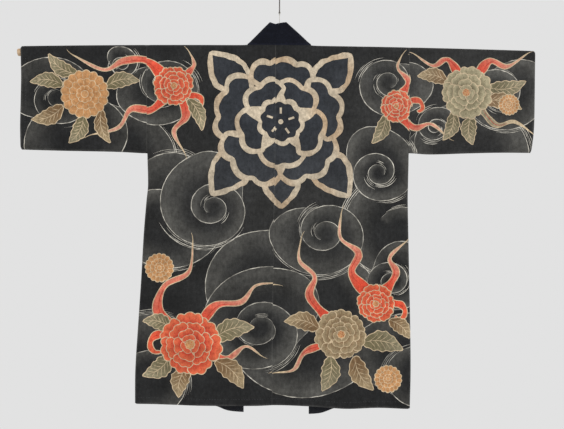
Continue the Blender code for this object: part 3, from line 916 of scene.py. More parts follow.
FRONT_WHIRLS = (
    (-0.260, 0.250, 0.300, 1.3, 20, 1, 0.90, 0.75),
    (0.260, 0.300, 0.300, 1.3, 160, -1, 0.90, 0.75),
    (-0.520, 0.060, 0.200, 1.5, 300, -1, 0.90, 0.80),
    (0.520, 0.040, 0.210, 1.5, 220, 1, 0.90, 0.80),
    (-0.330, 0.600, 0.220, 1.5, 60, -1, 0.90, 0.80),
    (0.330, 0.620, 0.220, 1.5, 100, 1, 0.90, 0.80),
    (-0.230, 0.060, 0.125, 2.0, 40, 1, 0.92, 0.85),
    (0.225, 0.070, 0.120, 2.0, 250, 1, 0.92, 0.85),
    (-0.200, 0.330, 0.145, 2.0, 200, -1, 0.92, 0.90),
    (0.235, 0.360, 0.135, 2.1, 340, -1, 0.92, 0.90),
    (-0.260, 0.660, 0.120, 2.0, 110, 1, 0.90, 0.85),
    (0.215, 0.650, 0.130, 2.0, 60, -1, 0.90, 0.85),
    (-0.480, 0.010, 0.115, 2.0, 160, 1, 0.90, 0.85),
    (0.500, 0.030, 0.115, 2.0, 20, -1, 0.90, 0.85),
    (-0.300, 0.480, 0.070, 2.0, 300, 1, 0.92, 0.85),
    (0.295, 0.500, 0.070, 2.0, 230, -1, 0.92, 0.85),
)
for seed, row in enumerate(BACK_WHIRLS + FRONT_WHIRLS):
    draw_whirl(Whirl(*row), seed)
print("whirls:", len(BACK_WHIRLS + FRONT_WHIRLS), "shapes so far:", len(DYED))


# %% [markdown]
# Flowers, leaves and streamers
#
# The bright motifs are garden flowers with leaves and waving streamers. A petal is a closed line
# in polar form, wide at the tip with shallow notches; a flower is rings of petals, the outer ring
# painted first. One function makes each kind, and short tables place them.

# %% Petals
OUTLINE_WIDTH = 0.0019
THIN_LINE = 0.0014
FINE_LINE = 0.0011
PALE = plain(CREAM)


def petal(centre, turn, inner, outer, spread, lobes, seed):
    """Outline of a petal with soft lobes at its tip; turn and spread are angles in radians."""
    t = np.linspace(-1, 1, 6 * lobes + 1)
    bulge = np.abs(np.sin(lobes * math.pi * (t + 1) / 2))
    tip = outer * (0.93 - 0.13 * np.abs(t) ** 3 + 0.07 * bulge + 0.015 * np.sin(5 * t + seed))
    side = np.linspace(0.10, 0.90, 6)
    r_side = inner + (0.80 * outer - inner) * side
    lean = spread * (0.30 + 0.74 * side ** 0.65)
    r = np.concatenate([r_side, tip, r_side[::-1]])
    angle = turn + np.concatenate([-lean, spread * t, lean[::-1]])
    return flow(polar(centre, r, angle), closed=True, spacing=0.0038)


def petal_rings(centre, radius, turn, rings, width, line, colours, seed, veins=0):
    """Rings: (petals, inner share, outer share, spread, lobes). Colours: base and rim."""
    base, rim = colours
    for ring, (count, inner, outer, spread, lobes) in enumerate(rings):
        reach = radius * outer
        below = radius * rings[ring + 1][2] if ring + 1 < len(rings) else 0.0
        shade = fading(base, rim, centre, 0.75 * below, 0.96 * reach)
        for k in range(count):
            angle = turn + 2 * math.pi * (k + 0.5 * (ring % 2)) / count
            angle += 0.06 * math.sin(3 * k + seed)
            size = radius * (1 + 0.045 * math.sin(5 * k + seed + ring))
            shape = petal(centre, angle, inner * size, outer * size, spread, lobes, seed + k)
            outlined(shape, width * (1 - 0.16 * ring), line, shade, seed + k)
            for vein in np.linspace(-0.5, 0.5, veins) if ring < 2 else ():
                ends = np.array((mix(below, reach, 0.10), mix(below, reach, 0.62 - 0.3 * abs(vein))))
                vein_angle = angle + spread * vein * np.array((0.8, 1.0))
                stroke(polar(centre, ends, vein_angle), FINE_LINE, plain(base), 0.4, k)


def round_shape(centre, radius, count=20):
    turns = np.linspace(0, 2 * math.pi, count, endpoint=False)
    return polar(centre, np.full(count, radius), turns)


def scalloped(centre, radius, lobes, depth, turn):
    """A disc whose edge is a ring of soft lobes."""
    angles = np.linspace(0, 2 * math.pi, lobes * 7, endpoint=False)
    bulge = np.abs(np.sin(lobes * (angles - turn) / 2))
    return polar(centre, radius * (1 - depth + depth * bulge), angles)


# %% Peonies and rosettes
PEONY_LINE = 0.0021
STAMENS = 7
STAMEN_DOT = 0.0011
# Columns: petals, inner share of the radius, outer share, spread, lobes
PEONY_RINGS = (
    (7, 0.30, 1.00, 0.53, 3),
    (6, 0.22, 0.75, 0.58, 3),
    (5, 0.12, 0.52, 0.68, 2),
    (3, 0.05, 0.32, 1.05, 2),
)
# Columns: share of the radius, lobes, depth of the lobes, line
ROSETTE_RINGS = (
    (1.00, 17, 0.09, OUTLINE_WIDTH),
    (0.66, 13, 0.12, THIN_LINE),
    (0.36, 9, 0.14, THIN_LINE),
)


def stamens(centre, radius):
    """The middle of a peony: a small scalloped disc with dots."""
    outlined(scalloped(centre, 1.35 * radius, 8, 0.16, 0.4), THIN_LINE, PALE, plain(OCHRE_LIGHT))
    for k in range(STAMENS):
        r = radius * math.sqrt((k + 0.5) / STAMENS)
        spot = (centre[0] + r * math.cos(2.4 * k), centre[1] + r * math.sin(2.4 * k))
        dye(round_shape(spot, STAMEN_DOT, 8), plain(DEEP_RED))


def peony(centre, radius, turn, colours, seed):
    dye(round_shape(centre, 0.60 * radius, 36), plain(colours[0]))
    petal_rings(centre, radius, turn, PEONY_RINGS, PEONY_LINE, PALE, colours, seed, veins=3)
    stamens(centre, radius * 0.12)


def rosette(centre, radius, turn, seed):
    """A many-petalled flower seen square on: three scalloped rings and thin lines between petals."""
    for share, lobes, depth, width in ROSETTE_RINGS:
        reach = share * radius
        shade = fading(OCHRE, OCHRE_LIGHT, centre, 0.45 * reach, reach)
        outlined(scalloped(centre, reach, lobes, depth, turn), width, PALE, shade, seed)
        for k in range(lobes):
            ends = np.array((reach * 0.60, reach * (0.97 - depth)))
            angle = turn + 2 * math.pi * k / lobes
            stroke(polar(centre, ends, np.full(2, angle)), FINE_LINE, PALE, 0.3, k)
    outlined(round_shape(centre, 0.15 * radius), THIN_LINE, PALE, plain(OCHRE_LIGHT))


# %% Leaves
def leaf(base, tip, width, bend, colours, seed, line=PALE, line_width=OUTLINE_WIDTH, ragged=0.10,
         veins=5):
    """A pointed leaf; its middle rib and side veins are drawn where it has veins."""
    base, tip = np.array(base, dtype=float), np.array(tip, dtype=float)
    way = tip - base
    length = float(np.linalg.norm(way))
    left = np.array((-way[1], way[0])) / length

    def spine(t):
        return base + way * t + left * bend * length * 4 * t * (1 - t)

    t = np.linspace(0.03, 1, 15)
    half = width / 2 * np.sin(math.pi * t ** 0.8) ** 0.85
    notches = 1 + ragged * np.sin(np.arange(15) * 2.1 + seed)
    spots = np.array([spine(s) for s in t])
    outline = np.concatenate([spots + left * (half * notches)[:, None],
                              (spots - left * (half * notches[::-1])[:, None])[::-1][1:]])
    shade = fading(*colours, base, 0.2 * length, length)
    outlined(flow(outline, closed=True, spacing=0.0045), line_width, line, shade, seed)
    if veins:
        stroke([spine(s) for s in (0.02, 0.3, 0.6, 0.9)], line_width * 0.8, line, 0.4, seed)
    for k in range(veins):
        s = 0.16 + 0.62 * k / veins
        reach = width / 2 * math.sin(math.pi * (s + 0.12) ** 0.8) ** 0.85 * 0.78
        for hand in (1, -1):
            start, end = spine(s), spine(s + 0.17) + left * hand * reach
            middle = (start + end) / 2 + way * 0.02
            stroke([start, middle, end], line_width * 0.55, line, 0.4, seed + k)


# %% Streamers and curls
TIP_WIDTH = 0.0010
TAIL = 0.022  # length of the hair line beyond a tip
TAIL_END = 0.0006
FOLD_LINE = 0.0016


def hair_line(line, seed):
    """The last brush mark beyond a tip, bent a little to one side."""
    ahead = (line[-1] - line[-3]) / np.linalg.norm(line[-1] - line[-3])
    bend = np.array((-ahead[1], ahead[0])) * (1 if seed % 2 else -1)
    s = np.linspace(-0.12, 1, 9)[:, None]
    hair = line[-1] + TAIL * (ahead * s + 0.22 * bend * s * s)
    dye(band(hair, mix(TIP_WIDTH + OUTLINE_WIDTH, TAIL_END, np.maximum(s[:, 0], 0) ** 0.7)), PALE)


def streamer(points, width, tip_width, colours, seed):
    """A waving strip, wide and strong in colour at its root, thin and pale at its tip."""
    line = flow(points, spacing=0.0055)
    t = np.linspace(0, 1, len(line))
    widths = mix(width, tip_width, t ** 0.85) * (1 + 0.20 * np.sin(t * 17 + seed))
    shape = flow(band(line, widths)[::2], closed=True, spacing=0.0042)
    length = float(np.sum(np.linalg.norm(np.diff(line, axis=0), axis=1)))
    shade = fading(*colours, line[0], 0.1 * length, 0.8 * length)
    outlined(shape, OUTLINE_WIDTH, PALE, shade, seed)
    fold = line[2:int(0.62 * len(line))]
    sway = 0.18 * widths[2:2 + len(fold)] * np.sin(4 * t[:len(fold)] + seed)
    fold = fold + sideways(fold) * sway[:, None]
    stroke(fold[::3], FOLD_LINE, plain(DEEP_RED), 0.5, seed)
    return line


def curl(centre, radius, width, start, way, seed):
    """A streamer that winds up at its tip."""
    turns = np.linspace(0, 4.6, 14)
    r = radius * np.exp(-0.22 * turns)
    spots = polar(centre, r, math.radians(start) + way * turns)
    streamer(spots, width, width * 0.35, (RED, ORANGE), seed)


# %% Streamers and leaves on the sleeves and the skirt
REDS = (RED, PINK)
BEIGES = (OLIVE_GREY, CREAM)
GREENS = (OLIVE, OLIVE_GREY)
BROWNS = (BROWN, PALE_BROWN)
# Streamers: colours, root width, then points from root to tip
STREAMERS = (
    (REDS, 0.030, ((-0.280, -0.225), (-0.325, -0.180), (-0.385, -0.180), (-0.435, -0.202),
                   (-0.510, -0.166))),
    (REDS, 0.028, ((-0.272, -0.255), (-0.318, -0.298), (-0.368, -0.300), (-0.398, -0.345),
                   (-0.462, -0.362))),
    (REDS, 0.030, ((-0.250, -0.258), (-0.232, -0.312), (-0.262, -0.352), (-0.238, -0.400))),
    (REDS, 0.022, ((-0.238, -0.216), (-0.212, -0.188), (-0.222, -0.158))),
    (REDS, 0.028, ((0.486, -0.222), (0.520, -0.180), (0.562, -0.194), (0.610, -0.164))),
    (REDS, 0.024, ((0.446, -0.218), (0.415, -0.176), (0.380, -0.192), (0.338, -0.166))),
    (REDS, 0.022, ((0.298, -0.262), (0.318, -0.224), (0.292, -0.192), (0.300, -0.164))),
    (REDS, 0.024, ((0.298, -0.306), (0.332, -0.345), (0.374, -0.336), (0.412, -0.366))),
    (BEIGES, 0.020, ((0.492, -0.290), (0.535, -0.338), (0.580, -0.330), (0.622, -0.356))),
    (REDS, 0.034, ((-0.235, -0.850), (-0.300, -0.800), (-0.285, -0.735), (-0.225, -0.700),
                   (-0.215, -0.625))),
    (REDS, 0.030, ((-0.205, -0.845), (-0.160, -0.785), (-0.095, -0.775), (-0.060, -0.735),
                   (-0.015, -0.728))),
    (REDS, 0.026, ((-0.190, -0.900), (-0.130, -0.915), (-0.085, -0.885), (-0.050, -0.905))),
    (REDS, 0.032, ((0.222, -0.752), (0.178, -0.700), (0.195, -0.650), (0.150, -0.612),
                   (0.152, -0.552))),
    (REDS, 0.028, ((0.255, -0.752), (0.288, -0.700), (0.272, -0.662), (0.312, -0.622))),
    (REDS, 0.030, ((0.128, -0.822), (0.074, -0.758), (0.086, -0.708), (0.048, -0.668),
                   (0.052, -0.616))),
    (REDS, 0.024, ((0.125, -0.872), (0.062, -0.895), (0.035, -0.938), (-0.006, -0.946))),
)
# Curls: x, q, radius, width, start angle, way
CURLS = (
    (-0.206, -0.282, 0.024, 0.020, 150, -1),
    (0.340, -0.296, 0.026, 0.020, 170, -1),
    (-0.300, -0.885, 0.036, 0.024, 40, 1),
    (0.292, -0.800, 0.028, 0.020, 120, -1),
)
# Leaves: colours, base, tip, width, bend
LEAVES = (
    (GREENS, (-0.500, -0.212), (-0.572, -0.162), 0.036, 0.14),
    (GREENS, (-0.535, -0.240), (-0.618, -0.232), 0.036, -0.12),
    (BROWNS, (-0.535, -0.290), (-0.615, -0.325), 0.040, 0.14),
    (GREENS, (-0.485, -0.315), (-0.522, -0.384), 0.038, 0.12),
    (GREENS, (-0.430, -0.245), (-0.345, -0.230), 0.038, 0.14),
    (BROWNS, (-0.440, -0.300), (-0.418, -0.384), 0.032, -0.14),
    (GREENS, (-0.228, -0.270), (-0.192, -0.350), 0.034, 0.12),
    (GREENS, (0.515, -0.245), (0.610, -0.230), 0.040, -0.12),
    (BROWNS, (0.505, -0.280), (0.600, -0.300), 0.038, 0.12),
    (GREENS, (0.475, -0.315), (0.478, -0.388), 0.038, -0.12),
    (BROWNS, (0.415, -0.232), (0.340, -0.218), 0.036, -0.14),
    (GREENS, (0.430, -0.305), (0.404, -0.376), 0.034, 0.14),
    (GREENS, (0.262, -0.308), (0.228, -0.378), 0.034, 0.12),
    (GREENS, (-0.270, -0.905), (-0.340, -0.958), 0.046, 0.14),
    (BROWNS, (-0.228, -0.935), (-0.250, -1.012), 0.044, -0.12),
    (GREENS, (-0.165, -0.868), (-0.062, -0.838), 0.050, 0.12),
    (BROWNS, (-0.160, -0.920), (-0.090, -0.990), 0.048, 0.12),
    (GREENS, (-0.265, -0.842), (-0.340, -0.822), 0.040, -0.12),
    (GREENS, (0.205, -0.872), (0.305, -0.890), 0.050, 0.12),
    (BROWNS, (0.185, -0.905), (0.232, -0.990), 0.046, -0.12),
    (GREENS, (0.125, -0.905), (0.104, -0.992), 0.046, 0.12),
    (BROWNS, (0.270, -0.815), (0.322, -0.862), 0.036, 0.12),
    (BROWNS, (0.098, -0.838), (0.010, -0.820), 0.044, -0.14),
)
for seed, (colours, width, points) in enumerate(STREAMERS):
    hair_line(streamer(points, width, TIP_WIDTH, colours, seed), seed)
for seed, (x, q, radius, width, start, way) in enumerate(CURLS):
    curl((x, q), radius, width, start, way, seed)
for seed, (colours, base, tip, width, bend) in enumerate(LEAVES):
    leaf(base, tip, width, bend, colours, seed)
print(len(STREAMERS), "streamers,", len(CURLS), "curls,", len(LEAVES), "leaves")

# %% Flowers on the sleeves and the skirt
# Columns: x, q, radius, turn, colours of base and rim
PEONIES = (
    (-0.262, -0.238, 0.050, 0.3, (DEEP_RED, ORANGE)),
    (0.288, -0.285, 0.040, 0.9, (DEEP_RED, ORANGE)),
    (0.462, -0.258, 0.064, 0.5, (OLIVE, PALE_OLIVE)),
    (-0.222, -0.880, 0.078, 0.7, (DEEP_RED, ORANGE)),
    (0.238, -0.776, 0.048, 0.1, (DEEP_RED, ORANGE)),
    (0.152, -0.852, 0.064, 0.6, (BROWN, PALE_BROWN)),
)
ROSETTES = (
    (-0.482, -0.262, 0.060, 0.2),
    (0.568, -0.288, 0.026, 0.9),
    (-0.298, -0.690, 0.036, 0.3),
    (0.268, -0.962, 0.034, 0.8),
)
for seed, (x, q, radius, turn, colours) in enumerate(PEONIES):
    peony((x, q), radius, turn, colours, seed)
for seed, (x, q, radius, turn) in enumerate(ROSETTES):
    rosette((x, q), radius, turn, seed)
print("shapes with flowers:", len(DYED))

# %% [markdown]
# The large medallion
#
# The middle of the back carries one bold ornament in deep navy with broad undyed outlines: a great
# peony with leaves at its corners. The same petal function makes it, with wider lines.

# %% The medallion on the back
MEDALLION = (0.002, -0.324)
MEDALLION_RADIUS = 0.162
NAVY_FILL = (NAVY, NAVY * 1.2)
BROAD = 0.0134
BARS = 5
BAR_ENDS = (0.020, 0.035)  # distances of a bar's ends from the middle
BAR_WIDTH = 0.0052
MIDDLE_DOT = 0.0062
UNDYED = undyed(2)
# Columns: base, tip, width, bend
BIG_LEAVES = (
    ((-0.078, -0.232), (-0.170, -0.158), 0.082, 0.10),
    ((0.084, -0.232), (0.174, -0.160), 0.082, -0.10),
    ((-0.070, -0.415), (-0.166, -0.506), 0.090, -0.10),
    ((0.076, -0.415), (0.170, -0.508), 0.090, 0.10),
    ((0.002, -0.430), (0.004, -0.534), 0.086, 0.0),
)
OUTER_PETALS = ((5, 0.30, 1.00, 0.66, 3),)
INNER_PETALS = ((5, 0.22, 0.68, 0.66, 2),)


def medallion_petals(turn, rings, width, seed):
    petal_rings(MEDALLION, MEDALLION_RADIUS, turn, rings, width, UNDYED, NAVY_FILL, seed)


for seed, (base, tip, width, bend) in enumerate(BIG_LEAVES):
    leaf(base, tip, width, bend, NAVY_FILL, seed, undyed(seed), BROAD * 0.95, ragged=0.025, veins=0)
medallion_petals(math.pi / 2, OUTER_PETALS, BROAD, 4)
dye(round_shape(MEDALLION, 0.56 * MEDALLION_RADIUS, 48), UNDYED)
medallion_petals(-math.pi / 2, INNER_PETALS, BROAD * 0.9, 2)
heart = scalloped(MEDALLION, 0.34 * MEDALLION_RADIUS, 10, 0.10, 0.1)
outlined(heart, BROAD * 0.85, UNDYED, plain(NAVY))
for angle in np.radians(90 + 360 / BARS * np.arange(BARS)):
    dye(band(polar(MEDALLION, np.array(BAR_ENDS), angle), BAR_WIDTH), UNDYED)
dye(round_shape(MEDALLION, MIDDLE_DOT, 16), UNDYED)
print("shapes in all:", len(DYED))


# %% [markdown]
# Cutting the cloth along its pattern
#
# A constrained Delaunay triangulation joins scattered points by triangles and keeps every given
# edge. Fed with the strip's outline, the outlines of the dyed shapes and a light grid of points
# for the folds, it gives a mesh whose edges follow the drawing, so a crisp line needs no fine grid.
# Each triangle is then hung on the coat, and gets its colour from the topmost shape over it.

# %% Which points lie inside an outline
def inside(points, outline):
    """Winding test for an array of points against a closed outline."""
    low, high = outline.min(axis=0), outline.max(axis=0)
    near = np.where(np.all((points >= low) & (points <= high), axis=1))[0]
    result = np.zeros(len(points), dtype=bool)
    if len(near) == 0:
        return result
    start, end = outline, np.roll(outline, -1, axis=0)
    for part in np.array_split(near, len(near) // 4000 + 1):
        x, y = points[part, 0][:, None], points[part, 1][:, None]
        x0, y0, x1, y1 = start[:, 0], start[:, 1], end[:, 0], end[:, 1]
        cross = (x1 - x0) * (y - y0) - (x - x0) * (y1 - y0)
        up = (y0 <= y) & (y1 > y) & (cross > 0)
        down = (y0 > y) & (y1 <= y) & (cross < 0)
        result[part] = (up.sum(axis=1) - down.sum(axis=1)) > 0
    return result


# %% Points of a flat strip
GRID = 0.0075
TURN_ROWS = 0.0026  # between the rows of points over the rod
GRID_INSET = 0.0010  # no grid point lies nearer than this to the strip's edge


def fold_points(outline):
    """Scattered points that carry the folds: a staggered grid, and close rows over the rod."""
    low, high = outline.min(axis=0), outline.max(axis=0)
    spots = []
    for row, q in enumerate(np.arange(low[1], high[1], GRID)):
        x = np.arange(low[0] + GRID / 2 * (row % 2), high[0], GRID)
        spots.append(np.stack([x, np.full(len(x), q)], axis=1))
    x = np.arange(low[0], high[0], GRID)
    for run in np.arange(-QUARTER, QUARTER + TURN_ROWS, TURN_ROWS):
        spots.append(np.stack([x, roof_z(x) - run], axis=1))
    spots = np.concatenate(spots)
    return spots[inside(spots, grow(outline, -GRID_INSET))]


def shapes_over(outline, slip):
    """The dyed shapes that reach into a strip's box, moved by the strip's slip."""
    low, high = outline.min(axis=0), outline.max(axis=0)
    moved = [(line + slip, paint) for line, paint in DYED]
    return [(line, paint) for line, paint in moved
            if np.all(line.max(axis=0) > low) and np.all(line.min(axis=0) < high)]


# %% Triangles of a flat strip
EDGE_ROWS = (0.0010, 0.0026, 0.0055)  # lines beside every edge, so that it rounds evenly
POINT_ROOM = 0.0028  # a grid point this near to a drawn line is left out
MERGE_REACH = 1e-6  # points closer than this become one
SMALLEST = 1e-11  # twice the area of the smallest triangle that is kept


def flat_triangles(outline, shapes):
    points, edges, count = [], [], 0
    rows = [grow(outline, -step) for step in EDGE_ROWS]
    for line in [outline] + rows + [shape for shape, paint in shapes]:
        n = len(line)
        points.append(line)
        edges += [(count + i, count + (i + 1) % n) for i in range(n)]
        count += n
    taken = {tuple(cell) for cell in np.round(np.concatenate(points) / POINT_ROOM).astype(int)}
    loose = fold_points(outline)
    cells = np.round(loose / POINT_ROOM).astype(int)
    points.append(loose[[tuple(cell) not in taken for cell in cells]])
    spots = [Vector(p) for p in np.concatenate(points)]
    result = delaunay_2d_cdt(spots, edges, [], 0, MERGE_REACH, False)
    flat = np.array([tuple(v) for v in result[0]])
    triangles = []
    for face in result[2]:
        triangles += [(face[0], face[k], face[k + 1]) for k in range(1, len(face) - 1)]
    triangles = np.array(triangles)
    a, b, c = (flat[triangles[:, k]] for k in range(3))
    area = (b[:, 0] - a[:, 0]) * (c[:, 1] - a[:, 1]) - (b[:, 1] - a[:, 1]) * (c[:, 0] - a[:, 0])
    triangles[area < 0] = triangles[area < 0][:, ::-1]
    return flat, triangles[inside((a + b + c) / 3, outline) & (np.abs(area) > SMALLEST)]


# %% Wear, fading of the dye and painted light
def wear(flat):
    """0 to 1, how much the dye has worn off: along folds, seams and edges."""
    place = strip_point(flat)
    x, z = place[:, 0], place[:, 2]
    side = np.where(roof_z(x) > flat[:, 1], BACK, FRONT)
    hem = np.where(side == BACK, read_table(BACK_HEM, x, 1), read_table(FRONT_HEM, x, 1))
    worn = [0.8 * bell((roof_z(x) - flat[:, 1]) / 0.009), 0.8 * bell(edge_distance(x, z) / 0.005),
            0.7 * bell((z - hem) / 0.005), 0.45 * near_seam(x, z, side, 0.0018)]
    worn += [0.8 * bell((x - read_table(CUFFS, z, column)) / 0.005) for column in (1, 2)]
    patchy = 0.62 + 0.38 * np.sin(x * 71 + z * 53) * np.sin(x * 23 - z * 37)
    return np.clip(np.max(worn, axis=0) * patchy, 0, 1)


# Columns: x, q, radius, how far the cloth is lightened, partly as faded dye and partly as painted
# light, strongest on the right sleeve and the upper right of the back
FADED_AND_LIT_PATCHES = (
    (0.480, -0.240, 0.240, 0.17),
    (0.260, -0.280, 0.200, 0.15),
    (0.060, -0.560, 0.260, 0.15),
    (-0.200, -0.500, 0.220, 0.11),
    (-0.240, -0.250, 0.150, 0.05),
    (0.060, -0.860, 0.200, 0.05),
    (-0.150, -0.760, 0.160, 0.05),
    (0.250, 0.300, 0.300, 0.10),
    (-0.250, 0.100, 0.300, 0.07),
)
FADED_AND_LIT_TONE = np.array((0.105, 0.103, 0.096))
FADED_ALL_OVER = 0.02  # how far the dye has gone where no row says more
MOST_FADED_AND_LIT = 0.20
WORN_TONE = np.array((0.085, 0.083, 0.078))
WORN_SHARE = 0.8


def fade_and_light_share(flat):
    """How far the cloth is lightened at flat places: partly faded dye, partly painted light."""
    share = np.full(len(flat), FADED_ALL_OVER)
    for x, q, radius, amount in FADED_AND_LIT_PATCHES:
        share += amount * bell(np.minimum(np.hypot(flat[:, 0] - x, flat[:, 1] - q) / radius, 1))
    return share


def clouds(flat):
    """Slow uneven patches of the brushed dye, from about -1 to 1."""
    x, q = flat[:, 0], flat[:, 1]
    slow = np.sin(43 * x + 11 * q + 2.0 * np.sin(17 * q))
    slow = slow + np.sin(37 * q - 23 * x + 2.0 * np.sin(19 * x))
    quick = np.sin(97 * x - 31 * q + 1.5 * np.sin(61 * q))
    quick = quick + np.sin(89 * q + 47 * x + 1.5 * np.sin(53 * x))
    return 0.34 * slow + 0.22 * quick


print("the middle of the back has lost", fade_and_light_share(np.array([[0.0, -0.6]])).round(3), "of its dye")

# %% Colours of the triangles
CORNER_PULL = 0.03  # a corner's colour is read this far towards the middle
DARK_LIMIT = 0.14  # a dye darker than this shows its uneven patches most


def painted(flat, triangles, shapes, slip):
    """Places and colours of the triangles' corners, from the topmost shape over each triangle."""
    middles = flat[triangles].mean(axis=1)
    top = np.full(len(triangles), -1)
    for k, (outline, paint) in enumerate(shapes):
        top[inside(middles, outline)] = k
    corners = flat[triangles] * (1 - CORNER_PULL) + middles[:, None, :] * CORNER_PULL
    colours = np.empty((len(triangles), 3, 3))
    colours[:] = GROUND
    for k in np.unique(top[top >= 0]):
        chosen = top == k
        paint = shapes[k][1]
        colours[chosen] = paint(corners[chosen].reshape(-1, 2) - slip).reshape(-1, 3, 3)
    return corners.reshape(-1, 2), colours


def aged(places, colours):
    """The colours with uneven dye, patches lightened partly by fading and partly as painted light, and
    worn edges.
    """
    dark = 1 - ease(colours.max(axis=2, keepdims=True) / DARK_LIMIT)
    uneven = clouds(places).reshape(-1, 3, 1)
    colours = colours * (1 + uneven * (0.05 + 0.21 * dark))
    share = fade_and_light_share(places).reshape(-1, 3, 1)
    # partly painted light: the patches lighten the cloth most on the right sleeve and the upper right
    # of the back, least low down and on the left
    colours = mix(colours, FADED_AND_LIT_TONE, np.minimum(share, MOST_FADED_AND_LIT))
    worn = wear(places).reshape(-1, 3, 1)
    return mix(colours, colours * 0.7 + WORN_TONE, worn * WORN_SHARE)


# %% [markdown]
# From triangles to cloth
#
# Real cloth has two faces and an edge. A Solidify modifier could give them, but it would lose the
# normals and the dye of the corners, so the wall is made here. The outer face lies half a thickness
# outside the hung surface and the inner face half inside, and a thin rim joins them along every
# open edge. The shading normals come from the smooth surface itself, so the uneven triangles
# never show. The dye is stored as a colour for each triangle corner, and the flat place as a UV
# map, so that the weave follows the cloth over every fold.

# %% Make a cloth shell
INSIDE_TONE = np.array((0.020, 0.021, 0.024))
INSIDE_SHARE = 0.78  # its share; the rest is dye that comes through the cloth
EDGE_TONE = GROUND * 1.6


def open_edges(triangles, count):
    """The edges that only one triangle has."""
    directed = np.concatenate([triangles[:, [0, 1]], triangles[:, [1, 2]], triangles[:, [2, 0]]])
    key = directed[:, 0] * count + directed[:, 1]
    back_key = directed[:, 1] * count + directed[:, 0]
    return directed[~np.isin(key, back_key)]


def shell(name, points, normals, triangles, half, colours, flat):
    """A closed cloth wall that reaches half its thickness to either side of the points."""
    count = len(points)
    rim = open_edges(triangles, count)
    reach = normals * half[:, None]
    faces = [tuple(t) for t in triangles] + [tuple(t) for t in triangles[:, ::-1] + count]
    faces += [(b, a, a + count, b + count) for a, b in rim]
    mesh = bpy.data.meshes.new(name)
    mesh.from_pydata([tuple(v) for v in np.concatenate([points + reach, points - reach])], [],
                     [tuple(int(i) for i in face) for face in faces])
    mesh.update()
    inside_colours = mix(colours, INSIDE_TONE, INSIDE_SHARE)[:, ::-1]
    rim_colours = np.broadcast_to(EDGE_TONE, (len(rim), 4, 3))
    rgb = np.concatenate([c.reshape(-1, 3) for c in (colours, inside_colours, rim_colours)])
    layer = mesh.color_attributes.new("dye", "FLOAT_COLOR", "CORNER")
    layer.data.foreach_set("color", np.c_[rgb, np.ones(len(rgb))].astype(np.float32).ravel())
    corner_vertex = np.empty(len(mesh.loops), dtype=np.int32)
    mesh.loops.foreach_get("vertex_index", corner_vertex)
    uv = mesh.uv_layers.new(name="flat_cloth")
    uv.data.foreach_set("uv", flat[corner_vertex % count].astype(np.float32).ravel())
    smooth = np.concatenate([normals, -normals])[corner_vertex]
    rim_normals = [tuple(face.normal) for face in mesh.polygons[2 * len(triangles):]]
    smooth[6 * len(triangles):] = np.repeat(rim_normals, 4, axis=0)
    mesh.shade_smooth()
    mesh.normals_split_custom_set([tuple(n) for n in smooth])
    return collect(bpy.data.objects.new(name, mesh))


def dyed_strip(name, outline, slip):
    """One strip of cloth, cut along its pattern, coloured and hung."""
    shapes = shapes_over(outline, slip)
    flat, triangles = flat_triangles(outline, shapes)
    used = np.unique(triangles)
    renumber = np.zeros(len(flat), dtype=int)
    renumber[used] = np.arange(len(used))
    flat, triangles = flat[used], renumber[triangles]
    colours = aged(*painted(flat, triangles, shapes, slip))
    half = np.full(len(flat), CLOTH / 2)
    print(name, len(triangles), "triangles a side,", round(signed_area(outline), 3), "m2")
    return shell(name, strip_point(flat), outward(flat), triangles, half, colours, flat)


# %% [markdown]
# The four strips
#
# Such a coat is sewn from straight loom-width strips, and its shape comes from where they are
# joined. Each strip's outline is walked once round on the flat cloth: up a seam, over the
# shoulder, down the other side. Points every few millimetres let the outline bend with the coat's
# edges, which a rectangle cut out of a sheet would not do.

# %% Stretches of an outline
STEP = 0.0055
TURN_GAP = 0.0005  # a stretch that runs up stops this far below the roof


def run_of(start, end):
    """Even steps from the start, up to but without the end."""
    count = max(int(abs(end - start) / STEP), 2)
    return np.linspace(start, end, count)[:-1]


def upright(start, end, x_at, side):
    """A stretch from one height to another, whose x follows from the height."""
    z = run_of(start, end)
    return flat_place(x_at(z), z, side)


def level(start, end, z_at, side):
    """A stretch from one x to another, whose height follows from x."""
    x = run_of(start, end)
    return flat_place(x, z_at(x), side)


def straight(x):
    return lambda z: np.full(len(z), x)


def column_of(rows, column, shift=0.0):
    """A function that reads one column of a table and moves it by a shift."""
    return lambda at: read_table(rows, at, column) + shift


# %% Outlines of the strips
CENTRE_TOP_X = BODY_SECTIONS[0][2]  # the centre-back seam at the shoulder
NECK_SEAM_X = -0.010  # the centre-back seam at the neckline
CUFF_LOW = -0.39  # level at which a cuff meets the sleeve's bottom


